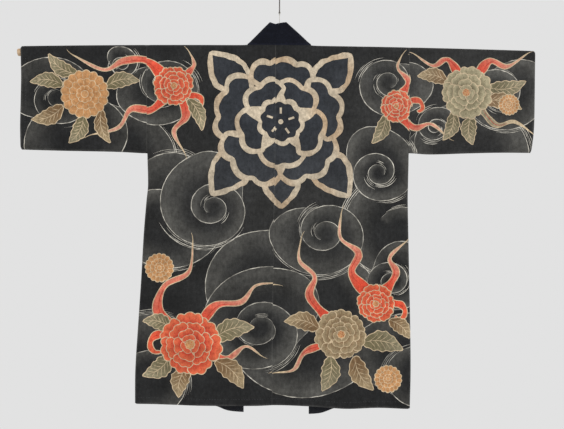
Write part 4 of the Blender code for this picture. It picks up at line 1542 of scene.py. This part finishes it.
def body_outline(left):
    """Once round: back's side, front's side, front hem, band seam, neck, centre seam, back hem."""
    inwards, column = (1, 1) if left else (-1, 2)
    lap = inwards * LAP
    armhole = (ARMHOLE_LEFT if left else ARMHOLE_RIGHT) - lap
    armhole_top = float(roof_z(armhole))
    neck_x = NECK_CENTRE - inwards * (NECK_HALF - LAP)
    neck_z = float(neckline_z(NECK_SEAM_X)) + LAP
    side_x = float(edge_x(HEM_Z, left))
    side_hem = float(read_table(BACK_HEM, side_x, 1))
    band_x = float(read_table(BAND_SEAM, HEM_Z, column)) + lap
    band_hem = float(read_table(FRONT_HEM, band_x, 1))
    centre_x = float(read_table(BODY_SECTIONS, HEM_Z, 2)) + lap
    centre_hem = float(read_table(BACK_HEM, centre_x, 1))

    def side_edge(z):
        return edge_x(z, left)

    def neckline(x):
        return neckline_z(x) + LAP

    return left_handed(np.concatenate([
        upright(side_hem, UNDERARM_Z, side_edge, BACK),
        upright(UNDERARM_Z, armhole_top - TURN_GAP, straight(armhole), BACK),
        upright(armhole_top, UNDERARM_Z, straight(armhole), FRONT),
        upright(UNDERARM_Z, side_hem, side_edge, FRONT),
        level(side_x, band_x, column_of(FRONT_HEM, 1), FRONT),
        upright(band_hem, SHOULDER_Z, column_of(BAND_SEAM, column, lap), FRONT),
        level(neck_x, CENTRE_TOP_X + lap, neckline, BACK),
        upright(neck_z, centre_hem, column_of(BODY_SECTIONS, 2, lap), BACK),
        level(centre_x, side_x, column_of(BACK_HEM, 1), BACK),
    ]))


def sleeve_outline(left):
    """Along the bottom, up and down the cuff, along the bottom, and up and down the armhole."""
    outwards, column = (-1, 1) if left else (1, 2)
    armhole = (ARMHOLE_LEFT if left else ARMHOLE_RIGHT) - outwards * LAP
    armhole_top = float(roof_z(armhole))
    underarm = float(read_table(SLEEVE_BOTTOM, armhole, 1))
    cuff_x = float(read_table(CUFFS, CUFF_LOW, column))
    cuff_top = float(roof_z(float(read_table(CUFFS, SHOULDER_Z, column))))
    cuff_bottom = float(read_table(SLEEVE_BOTTOM, cuff_x, 1))
    bottom, cuff = column_of(SLEEVE_BOTTOM, 1), column_of(CUFFS, column)
    return left_handed(np.concatenate([
        level(armhole, cuff_x, bottom, BACK),
        upright(cuff_bottom, cuff_top - TURN_GAP, cuff, BACK),
        upright(cuff_top, cuff_bottom, cuff, FRONT),
        level(cuff_x, armhole, bottom, FRONT),
        upright(underarm, armhole_top - TURN_GAP, straight(armhole), FRONT),
        upright(armhole_top, underarm, straight(armhole), BACK),
    ]))


STRIPS = {
    "body_left": body_outline(True),
    "body_right": body_outline(False),
    "sleeve_left": sleeve_outline(True),
    "sleeve_right": sleeve_outline(False),
}
print("outline points:", {node: len(outline) for node, outline in STRIPS.items()})

# %% Cut and hang the strips
SLIPS = {  # the dyed pattern never meets quite true at a seam
    "body_left": (0.0, 0.0),
    "body_right": (0.0012, -0.0036),
    "sleeve_left": (-0.0010, 0.0030),
    "sleeve_right": (0.0012, 0.0026),
}
cloth = {}
for node, outline in STRIPS.items():
    cloth[node] = dyed_strip(node + "_cloth", outline, np.array(SLIPS[node]))


# %% [markdown]
# Collar band
#
# The band is one strip folded double, so it is thicker than the rest and has round edges. It could
# be cut like the other strips, but its shape follows one rule along its length, so a plain grid of
# rows does: up one front, over the slanting fold at the neck point, along the back of the neck,
# and down the other front.

# %% Rows of the collar band
BAND_THICK = 0.0028
BAND_WIDTH = 0.0550
BAND_DIP = 0.0040  # how far the free edge dips behind the neck
BAND_EDGE = 0.0014  # reach of its round edges
FRONT_ROWS = 150  # places along a front, along the neck and across
NECK_ROWS = 26
CROSS_ROWS = 12
TURN_DROPS = FOLD_RADIUS * (1 - np.cos(np.linspace(0, math.pi / 2, 9)))


def neck_point(across, inwards):
    """x of the slanting fold, at one distance from the band's seam."""
    return NECK_CENTRE - inwards * NECK_HALF + inwards * across


def band_front(across, left):
    """Places (x, z, side) from the slanting fold down to the hem."""
    inwards, column = (1, 1) if left else (-1, 2)
    neck_x = neck_point(across, inwards)
    top = float(roof_z(neck_x))
    hem_x = float(read_table(BAND_SEAM, HEM_Z, column)) + inwards * across
    hem = float(read_table(FRONT_HEM, hem_x, 1))
    z = np.concatenate([top - TURN_DROPS, np.linspace(top - TURN_DROPS[-1], hem, FRONT_ROWS)[1:]])
    x = read_table(BAND_SEAM, z, column) + inwards * across
    x[0] = neck_x
    return np.stack([x, z, np.full(len(x), FRONT)], axis=1)


def band_back(across):
    """Places (x, z, side) behind the neck; the factor 27/4 brings the dip's deepest place to 1."""
    left, right = neck_point(across, 1), neck_point(across, -1)
    middle = np.linspace(left + TURN_DROPS[-1], right - TURN_DROPS[-1], NECK_ROWS)[1:-1]
    x = np.concatenate([left + TURN_DROPS[1:], middle, (right - TURN_DROPS[1:])[::-1]])
    half_gap = NECK_HALF - BAND_WIDTH
    share = np.clip((x - NECK_CENTRE + half_gap) / (2 * half_gap), 0, 1)
    sag = 27 / 4 * share * (1 - share) ** 2 * BAND_DIP / BAND_WIDTH
    z = neckline_z(x) + across * (1 - sag)
    return np.stack([x, z, np.full(len(x), BACK)], axis=1)


edge_steps = BAND_EDGE * (1 - np.cos(np.linspace(0, math.pi / 2, 5)))
middle_steps = np.linspace(BAND_EDGE - 2 * LAP, BAND_WIDTH - BAND_EDGE, CROSS_ROWS)[1:-1]
crossings = np.concatenate([edge_steps - 2 * LAP, middle_steps, (BAND_WIDTH - edge_steps)[::-1]])
rows = np.array([np.concatenate([band_front(across, True)[::-1], band_back(across),
                                 band_front(across, False)]) for across in crossings])
print("collar band", rows.shape[0], "rows of", rows.shape[1], "places")

# %% Hang the collar band
LEAN_LEFT = 0.0020  # above the shoulder the collar leans this far, on the left
LEAN_RIGHT = -0.0070  # and on the right,
LEAN_UP = 0.002  # and stands this much higher,
LEAN_REACH = 0.0615  # all from this height above the shoulder on
TINY = 1e-12

above = ease((rows[:, :, 1] - SHOULDER_Z) / LEAN_REACH)
rows[:, :, 0] += above * np.where(rows[:, :, 0] > NECK_CENTRE, LEAN_RIGHT, LEAN_LEFT)
x, z, side = rows.reshape(-1, 3).T
band_points = np.stack([x, hang(x, z, side), z + LEAN_UP * above.ravel()], axis=1)
grid = band_points.reshape(rows.shape)
band_normals = np.cross(np.gradient(grid, axis=1), np.gradient(grid, axis=0)).reshape(-1, 3)
band_normals /= np.maximum(np.linalg.norm(band_normals, axis=1, keepdims=True), TINY)
facing = np.sign(np.median(band_normals[:, 1] * side))
band_normals *= facing
lengths = np.linalg.norm(np.diff(grid, axis=1), axis=2)
along = np.concatenate([np.zeros((len(rows), 1)), np.cumsum(lengths, axis=1)], axis=1)

# %% Pucker the band, round its edges and colour it
STITCHED_PUCKER = 0.00028  # beside the seam
FREE_ROLL = 0.0006  # at the free edge
PUCKER_LOW, PUCKER_HIGH = -0.0004, 0.002
THIN_EDGE = 0.04  # share of the thickness that is left at an edge
WORN_EDGE = 0.0030  # how far an edge has worn pale
BAND_NAVY = np.array((0.0042, 0.0050, 0.0095))


def band_pucker(along, across):
    """Small uneven puckers where the band is stitched, and a slow roll of its free edge."""
    share = across / BAND_WIDTH
    stitched = np.exp(-share * 5) * (np.sin(along * 210) + 0.7 * np.sin(along * 133 + 2))
    roll = share ** 2 * np.sin(along * 17 + 0.6) + 0.5 * np.sin(along * 31 + share * 3)
    return STITCHED_PUCKER * stitched + FREE_ROLL * roll


count_along = rows.shape[1]
pucker = band_pucker(along, crossings[:, None]).ravel()
band_points = band_points + band_normals * np.clip(pucker, PUCKER_LOW, PUCKER_HIGH)[:, None]
edge = np.minimum(crossings + 2 * LAP, BAND_WIDTH - crossings)
roundness = quarter_round(edge / BAND_EDGE)
half = np.repeat(BAND_THICK / 2 * np.maximum(roundness, THIN_EDGE), count_along)
lift = BAND_THICK / 2 - CLOTH / 2
ids = np.arange(rows.shape[0] * count_along).reshape(-1, count_along)
quads = np.stack([ids[:-1, :-1], ids[:-1, 1:], ids[1:, 1:], ids[1:, :-1]], axis=-1).reshape(-1, 4)
triangles = np.concatenate([quads[:, [0, 1, 2]], quads[:, [0, 2, 3]]])
triangles = triangles[:, ::-1] if facing < 0 else triangles
band_flat = np.stack([np.repeat(crossings, count_along), along.ravel()], axis=1)
edge_wear = np.repeat(bell(edge / WORN_EDGE), count_along)[triangles][:, :, None]
band_colours = mix(BAND_NAVY, BAND_NAVY * 3.0, edge_wear * 0.5)
cloth["collar"] = shell("collar_band", band_points + band_normals * lift, band_normals, triangles,
                        half, band_colours, band_flat)
print("collar band", len(triangles), "triangles a side")


# %% [markdown]
# Finishes
#
# A finish is a tree of nodes. Cotton could be a picture of a weave, but a picture repeats and blurs
# close up, so every finish here is worked out from noise and waves at its real size. One helper
# adds a node, sets its values and links its inputs; the others name the few kinds that recur.

# %% Helpers for nodes
def node_maker(tree):
    """A function that adds a node; an input is linked to a socket or set to a value."""
    def add(kind, inputs=(), **settings):
        node = tree.nodes.new(kind)
        for name, value in settings.items():
            setattr(node, name, value)
        for socket, value in dict(inputs).items():
            if isinstance(value, bpy.types.NodeSocket):
                tree.links.new(value, node.inputs[socket])
            else:
                node.inputs[socket].default_value = value
        return node
    return add


def new_material(name):
    """An empty material, and the function that adds nodes to it."""
    material = bpy.data.materials.new(name)
    material.use_nodes = True
    material.node_tree.nodes.clear()
    return material, node_maker(material.node_tree)


def surface(add, inputs):
    """The shader and the output of a material."""
    shader = add("ShaderNodeBsdfPrincipled", inputs)
    add("ShaderNodeOutputMaterial", {"Surface": shader.outputs[0]})


def scaled(add, vector, scale):
    return add("ShaderNodeMapping", {"Vector": vector, "Scale": scale}).outputs[0]


def noise(add, vector, scale, detail, roughness=0.5):
    node = add("ShaderNodeTexNoise",
               {"Vector": vector, "Scale": scale, "Detail": detail, "Roughness": roughness})
    return node.outputs[0]


def wave(add, direction, inputs):
    """Even bands, from 0 to 1."""
    return add("ShaderNodeTexWave", inputs, wave_type="BANDS", bands_direction=direction).outputs[1]


def span(add, value, low, high, to_low, to_high):
    """A value moved from one range to another, and kept in it."""
    node = add("ShaderNodeMapRange", {"Value": value, "From Min": low, "From Max": high,
                                      "To Min": to_low, "To Max": to_high})
    return node.outputs[0]


def math_node(add, operation, a, b):
    return add("ShaderNodeMath", {0: a, 1: b}, operation=operation).outputs[0]


def blend(add, share, first, second):
    """From one colour to another; a colour is a socket or three numbers."""
    inputs = {"Fac": share, "Color1": first, "Color2": second}
    for socket, colour in inputs.items():
        if isinstance(colour, tuple):
            inputs[socket] = colour + (1,)
    return add("ShaderNodeMixRGB", inputs).outputs[0]


def relief(add, height, strength, distance, under=None):
    """A bump; under is a finer bump that it is added to."""
    inputs = {"Height": height, "Strength": strength, "Distance": distance}
    if under is not None:
        inputs["Normal"] = under
    return add("ShaderNodeBump", inputs).outputs[0]


# %% [markdown]
# Cotton
#
# The coat is of plain-woven cotton, dyed by hand. Its material reads the dye from the mesh and lays
# the thread over it: fine streaks along the warp, slow patches where the dye took unevenly, and a
# plain weave as bump. Everything is driven by the flat UV map, so the streaks run along each strip
# and over the shoulder.

# %% Cotton
LINT = (0.30, 0.29, 0.27)
WARP_THREADS = 330.0  # scale of the bands; the weft is a little coarser
WEFT_THREADS = 290.0


def weave(add, flat, scale):
    """The threads of a plain weave, as heights."""
    uneven = {"Vector": flat, "Distortion": 0.6, "Detail": 1.0, "Detail Scale": 3.0}
    warp = wave(add, "X", {**uneven, "Scale": WARP_THREADS * scale})
    weft = wave(add, "Y", {**uneven, "Scale": WEFT_THREADS * scale})
    return math_node(add, "ADD", warp, weft)


def cotton(name, thread_scale, streaks):
    """Dyed cotton; streaks is how far the warp threads differ in tone."""
    material, add = new_material(name)
    flat = add("ShaderNodeUVMap", uv_map="flat_cloth").outputs[0]
    dye_colour = add("ShaderNodeVertexColor", layer_name="dye").outputs[0]
    warp = noise(add, scaled(add, flat, (900, 14, 1)), 1.0, 3.0)
    weft = noise(add, scaled(add, flat, (30, 700, 1)), 1.0, 2.0)
    broad = noise(add, scaled(add, flat, (120, 5, 1)), 1.0, 2.0)
    blotches = noise(add, scaled(add, flat, (1, 0.7, 1)), 130.0, 3.0, 0.6)
    patches = noise(add, flat, 17.0, 6.0, 0.68)
    speckle = noise(add, flat, 420.0, 2.0, 0.7)

    tone = span(add, warp, 0.25, 0.75, 1 - streaks, 1 + streaks)
    # Columns: noise, its low and high end, tone at the low end, tone at the high end
    for row in ((weft, 0.2, 0.8, 0.93, 1.07), (broad, 0.25, 0.75, 0.94, 1.06),
                (blotches, 0.28, 0.72, 0.72, 1.29), (patches, 0.25, 0.75, 0.70, 1.30),
                (speckle, 0.3, 0.7, 0.84, 1.16)):
        tone = math_node(add, "MULTIPLY", tone, span(add, *row))
    shaded = add("ShaderNodeVectorMath", {0: dye_colour, 1: tone}, operation="MULTIPLY").outputs[0]
    lint = span(add, speckle, 0.60, 0.80, 0.0, 0.07)

    threads = math_node(add, "ADD", weave(add, flat, thread_scale), warp)
    puckers = noise(add, scaled(add, flat, (60, 26, 1)), 1.0, 3.0)
    surface(add, {
        "Base Color": blend(add, lint, shaded, LINT),
        "Roughness": span(add, patches, 0.2, 0.8, 0.84, 0.96),
        "Normal": relief(add, puckers, 0.5, 0.0016, relief(add, threads, 0.35, 0.0004)),
        "Specular IOR Level": 0.12, "Sheen Weight": 0.02, "Sheen Roughness": 0.6,
    })
    return material


# %% [markdown]
# Wood, steel and thread
#
# The rod is pale planed wood: noise stretched along the rod gives grain and pores, which a round
# noise could not. The hook is bent from dark steel wire with a little rust in its spots. The thread
# is two plies twisted together, which slanting bands round it show, and the sewing thread is
# so thin that a fine noise does for it. They read Object coordinates, in metres, so the grain keeps
# its real size.

# %% Wood and steel
def object_place(add):
    return add("ShaderNodeTexCoord").outputs["Object"]


def pale_wood():
    material, add = new_material("pale_wood_grain")
    place = object_place(add)
    grain = noise(add, scaled(add, place, (3, 260, 260)), 1.0, 4.0, 0.6)
    flame = noise(add, scaled(add, place, (9, 70, 70)), 1.0, 3.0)
    pores = noise(add, scaled(add, place, (40, 1500, 1500)), 1.0, 2.0)
    base = blend(add, span(add, grain, 0.3, 0.7, 0, 1), (0.42, 0.27, 0.15), (0.64, 0.47, 0.30))
    surface(add, {
        "Base Color": blend(add, span(add, flame, 0.45, 0.75, 0, 0.6), base, (0.36, 0.21, 0.11)),
        "Roughness": span(add, grain, 0.2, 0.8, 0.48, 0.66),
        "Normal": relief(add, math_node(add, "ADD", grain, pores), 0.35, 0.0004),
    })
    return material


def dark_steel():
    material, add = new_material("dark_steel_wire")
    place = object_place(add)
    spots = noise(add, place, 380.0, 4.0, 0.6)
    drawn = noise(add, scaled(add, place, (1600, 1600, 90)), 1.0, 2.0)
    rust = span(add, spots, 0.4, 0.7, 0, 1)
    surface(add, {
        "Base Color": blend(add, rust, (0.10, 0.10, 0.105), (0.17, 0.13, 0.10)),
        "Metallic": 0.85,
        "Roughness": span(add, spots, 0.2, 0.8, 0.30, 0.55),
        "Normal": relief(add, drawn, 0.2, 0.0002),
    })
    return material


# %% Hanging thread and sewing thread
def twisted_thread():
    material, add = new_material("twisted_thread")
    place = object_place(add)
    slant = scaled(add, place, (1, 1, 0.8))
    plies = wave(add, "DIAGONAL", {"Vector": slant, "Scale": 260.0, "Distortion": 1.0})
    fuzz = noise(add, place, 2400.0, 2.0)
    surface(add, {
        "Base Color": blend(add, plies, (0.34, 0.32, 0.28), (0.62, 0.60, 0.55)),
        "Roughness": 0.85,
        "Normal": relief(add, math_node(add, "ADD", plies, fuzz), 0.5, 0.0003),
    })
    return material


def sewing_thread():
    material, add = new_material("sewing_thread")
    tone = noise(add, object_place(add), 900.0, 2.0)
    surface(add, {
        "Base Color": blend(add, tone, (0.020, 0.022, 0.030), (0.075, 0.075, 0.080)),
        "Roughness": 0.75,
    })
    return material


# %% Give each piece its finish
DYED_COTTON = cotton("dyed_cotton_weave", 1.0, 0.11)
BAND_COTTON = cotton("navy_band_weave", 0.9, 0.25)
WOOD = pale_wood()
STEEL = dark_steel()
THREAD = twisted_thread()
SEWING = sewing_thread()

for node, piece in cloth.items():
    piece.data.materials.append(BAND_COTTON if node == "collar" else DYED_COTTON)
rod.data.materials.append(WOOD)
hook.data.materials.append(STEEL)
for piece in (thread, loop_on_hook, loop_on_rod, rod_knot, hook_knot):
    piece.data.materials.append(THREAD)
print("finishes:", [finish.name for finish in bpy.data.materials if finish.users])


# %% [markdown]
# Stitches
#
# Hems and the collar are sewn by hand with short running stitches. A stitch is a tiny grain of
# thread repeated at an even spacing along a line, which is the kind of thing Geometry Nodes does
# best: the tree takes a line, spreads points on it, puts a stitch on each, and joins them all.

# %% Stitch tree
STITCH_SIZES = {"Spacing": 0.0065, "Stitch length": 0.0034, "Thread radius": 0.00035}
STITCH_SEED = 7


def stitch_tree():
    """Lines of edges in, grains of thread out."""
    tree = bpy.data.node_groups.new("running_stitch", "GeometryNodeTree")
    face = tree.interface
    face.new_socket("Geometry", in_out="INPUT", socket_type="NodeSocketGeometry")
    for label, size in STITCH_SIZES.items():
        socket = face.new_socket(label, in_out="INPUT", socket_type="NodeSocketFloat")
        socket.default_value = size
    face.new_socket("Material", in_out="INPUT", socket_type="NodeSocketMaterial")
    face.new_socket("Geometry", in_out="OUTPUT", socket_type="NodeSocketGeometry")

    add = node_maker(tree)
    given = add("NodeGroupInput").outputs
    line = add("GeometryNodeMeshToCurve", {"Mesh": given["Geometry"]}).outputs["Curve"]
    spread = add("GeometryNodeCurveToPoints", {"Curve": line, "Length": given["Spacing"]},
                 mode="LENGTH").outputs
    grain = add("GeometryNodeMeshUVSphere", {"Segments": 6, "Rings": 4, "Radius": 1.0})
    half = math_node(add, "MULTIPLY", given["Stitch length"], 0.5)
    size = add("ShaderNodeCombineXYZ", {"X": given["Thread radius"], "Y": given["Thread radius"],
                                        "Z": half})
    jitter = add("FunctionNodeRandomValue", {"Min": 0.75, "Max": 1.2, "Seed": STITCH_SEED},
                 data_type="FLOAT")
    sized = add("ShaderNodeVectorMath", {0: size.outputs[0], "Scale": jitter.outputs["Value"]},
                operation="SCALE")
    placed = add("GeometryNodeInstanceOnPoints", {
        "Points": spread["Points"], "Instance": grain.outputs["Mesh"],
        "Rotation": spread["Rotation"], "Scale": sized.outputs[0]}).outputs["Instances"]
    realized = add("GeometryNodeRealizeInstances", {"Geometry": placed}).outputs["Geometry"]
    smooth = add("GeometryNodeSetShadeSmooth", {"Geometry": realized}).outputs["Geometry"]
    finish = add("GeometryNodeSetMaterial", {"Geometry": smooth, "Material": given["Material"]})
    add("NodeGroupOutput", {"Geometry": finish.outputs["Geometry"]})
    return tree


STITCHES = stitch_tree()
print("stitch tree of", len(STITCHES.nodes), "nodes")


# %% Sew along lines
STITCH_LIFT = 0.00075  # from the middle of a layer to the middle of a stitch


def stitch(name, lines):
    """Running stitches along lines of points in space, as one plain mesh."""
    vertices, edges = [], []
    for line in lines:
        first = len(vertices)
        vertices += [tuple(p) for p in line]
        edges += [(first + k, first + k + 1) for k in range(len(line) - 1)]
    guide_mesh = bpy.data.meshes.new(name + "_guide")
    guide_mesh.from_pydata(vertices, edges, [])
    guide = collect(bpy.data.objects.new(name + "_guide", guide_mesh))
    modifier = guide.modifiers.new("stitches", "NODES")
    modifier.node_group = STITCHES
    values = {**STITCH_SIZES, "Material": SEWING}
    for item in STITCHES.interface.items_tree:
        if item.in_out == "INPUT" and item.name in values:
            modifier[item.identifier] = values[item.name]
    depsgraph = bpy.context.evaluated_depsgraph_get()
    mesh = bpy.data.meshes.new_from_object(guide.evaluated_get(depsgraph))
    mesh.name = name
    guide.modifiers.clear()
    bpy.data.objects.remove(guide, do_unlink=True)
    print(name, len(mesh.polygons), "faces")
    return collect(bpy.data.objects.new(name, mesh))


def on_cloth(x, z, side):
    """Points on the outer face of a layer, where a thread lies half sunk."""
    flat = flat_place(x, z, side)
    return strip_point(flat) + outward(flat) * STITCH_LIFT


# %% Sew the hems, the cuffs and the collar
HEM_FOLD = 0.016  # from the hem up to its stitches
CUFF_FOLD = 0.012  # from a cuff in to its stitches
BAND_FOLD = 0.0035  # from the band's seam out to its stitches
SIDE_ROOM = 0.010  # a hem's stitches keep this far from the side seam
SEAM_ROOM = 0.004  # and this far from the centre-back seam and the band
CENTRE_HEM_X = -0.018  # the centre-back seam at the hem
BAND_TOP, BAND_BOTTOM = -0.160, -1.015  # heights between which the band is stitched
CUFF_TOP, CUFF_BOTTOM = -0.165, -0.375


def body_lines(left):
    """Along the back hem, along the front hem, and beside the band."""
    inwards, column = (1, 1) if left else (-1, 2)
    start = float(edge_x(HEM_Z, left)) + inwards * SIDE_ROOM
    back_x = np.linspace(start, CENTRE_HEM_X - inwards * SEAM_ROOM, 60)
    band_end = float(read_table(BAND_SEAM, HEM_Z, column)) - inwards * SEAM_ROOM
    front_x = np.linspace(start, band_end, 50)
    band_z = np.linspace(BAND_TOP, BAND_BOTTOM, 110)
    band_x = read_table(BAND_SEAM, band_z, column) - inwards * BAND_FOLD
    return [
        on_cloth(back_x, read_table(BACK_HEM, back_x, 1) + HEM_FOLD, BACK),
        on_cloth(front_x, read_table(FRONT_HEM, front_x, 1) + HEM_FOLD, FRONT),
        on_cloth(band_x, band_z, FRONT),
    ]


def cuff_lines(left):
    """Down the cuff's back and down its front."""
    inwards, column = (1, 1) if left else (-1, 2)
    z = np.linspace(CUFF_TOP, CUFF_BOTTOM, 40)
    x = read_table(CUFFS, z, column) + inwards * CUFF_FOLD
    return [on_cloth(x, z, side) for side in (BACK, FRONT)]


stitches = {
    "body_left": stitch("body_left_stitches", body_lines(True)),
    "body_right": stitch("body_right_stitches", body_lines(False)),
    "sleeve_left": stitch("sleeve_left_stitches", cuff_lines(True)),
    "sleeve_right": stitch("sleeve_right_stitches", cuff_lines(False)),
}

# %% [markdown]
#
# Each shell stands for its solid, which is hidden, and every piece is hung from one root body. The
# thread hangs taut between the rod and the hook.

# %% Hide each solid and hang each piece from the root
for node, piece in cloth.items():
    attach(piece, "root")
    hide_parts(node)
for node, piece in stitches.items():
    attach(piece, "root")
for piece, node, slot in ((rod, "rod", "pale_wood"), (hook, "hook", "dark_steel"),
                          (thread, "hanging_thread", "pale_thread"),
                          (loop_on_hook, "hook_loop", "pale_thread"),
                          (loop_on_rod, "rod_loop", "pale_thread")):
    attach(piece, "root")
    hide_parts(node)
for piece in (rod_knot, hook_knot):
    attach(piece, "root")
print("declared", len(cloth) + len(stitches), "pieces of cloth and stitches")

# %% [markdown]
# Light and ground
#
# Dark cloth needs broad, even light. A small lamp would leave hard glints on the rod, so three large
# soft panels light the coat: a strong one in front on the right, a weak one in front on the left,
# and one behind for the other views, all in a pale surrounding. A pale floor lies well below
# the hem.

# %% Floor
FLOOR_DROP = 0.95  # from the hem down to the floor
FLOOR_RADIUS = 3.2
FLOOR_SIDES = 96

floor_z = HEM_Z - FLOOR_DROP
turns = np.linspace(0, 2 * math.pi, FLOOR_SIDES, endpoint=False)
floor_rim = [(FLOOR_RADIUS * math.cos(t), FLOOR_RADIUS * math.sin(t), floor_z) for t in turns]
floor_mesh = bpy.data.meshes.new("floor")
floor_mesh.from_pydata(floor_rim, [], [tuple(range(FLOOR_SIDES))])
floor = collect(bpy.data.objects.new("floor", floor_mesh))
pale_floor, add = new_material("pale_floor")
floor_tone = noise(add, object_place(add), 1.4, 3.0)
floor_colour = blend(add, floor_tone, (0.72, 0.72, 0.71), (0.76, 0.76, 0.75))
surface(add, {"Base Color": floor_colour, "Roughness": 0.8})
floor_mesh.materials.append(pale_floor)
print("floor at", round(floor_z, 3), "m")

# %% Lights and surrounding
COAT_MIDDLE = (0.0, 0.0, -0.55)
# Columns: name, place, width and height of the panel, power in watts
PANELS = (
    ("key", (1.6, -2.2, 0.9), (1.6, 1.4), 34),
    ("fill", (-1.8, -2.2, 0.1), (1.8, 1.8), 9),
    ("rear", (-1.4, 2.2, 0.8), (1.8, 1.6), 30),
)
for name, place, size, power in PANELS:
    panel = bpy.data.lights.new(name, "AREA")
    panel.shape = "RECTANGLE"
    panel.size, panel.size_y = size
    panel.energy = power
    light = collect(bpy.data.objects.new(name, panel))
    light.location = place
    aim = Vector(COAT_MIDDLE) - Vector(place)
    light.rotation_euler = aim.to_track_quat("-Z", "Y").to_euler()

world = bpy.data.worlds.new("studio")
bpy.context.scene.world = world
world.use_nodes = True
background = world.node_tree.nodes["Background"]
background.inputs["Color"].default_value = (0.80, 0.80, 0.80, 1)
background.inputs["Strength"].default_value = 0.95
bpy.context.scene.view_settings.view_transform = "Standard"
print("lights:", [row[0] for row in PANELS])
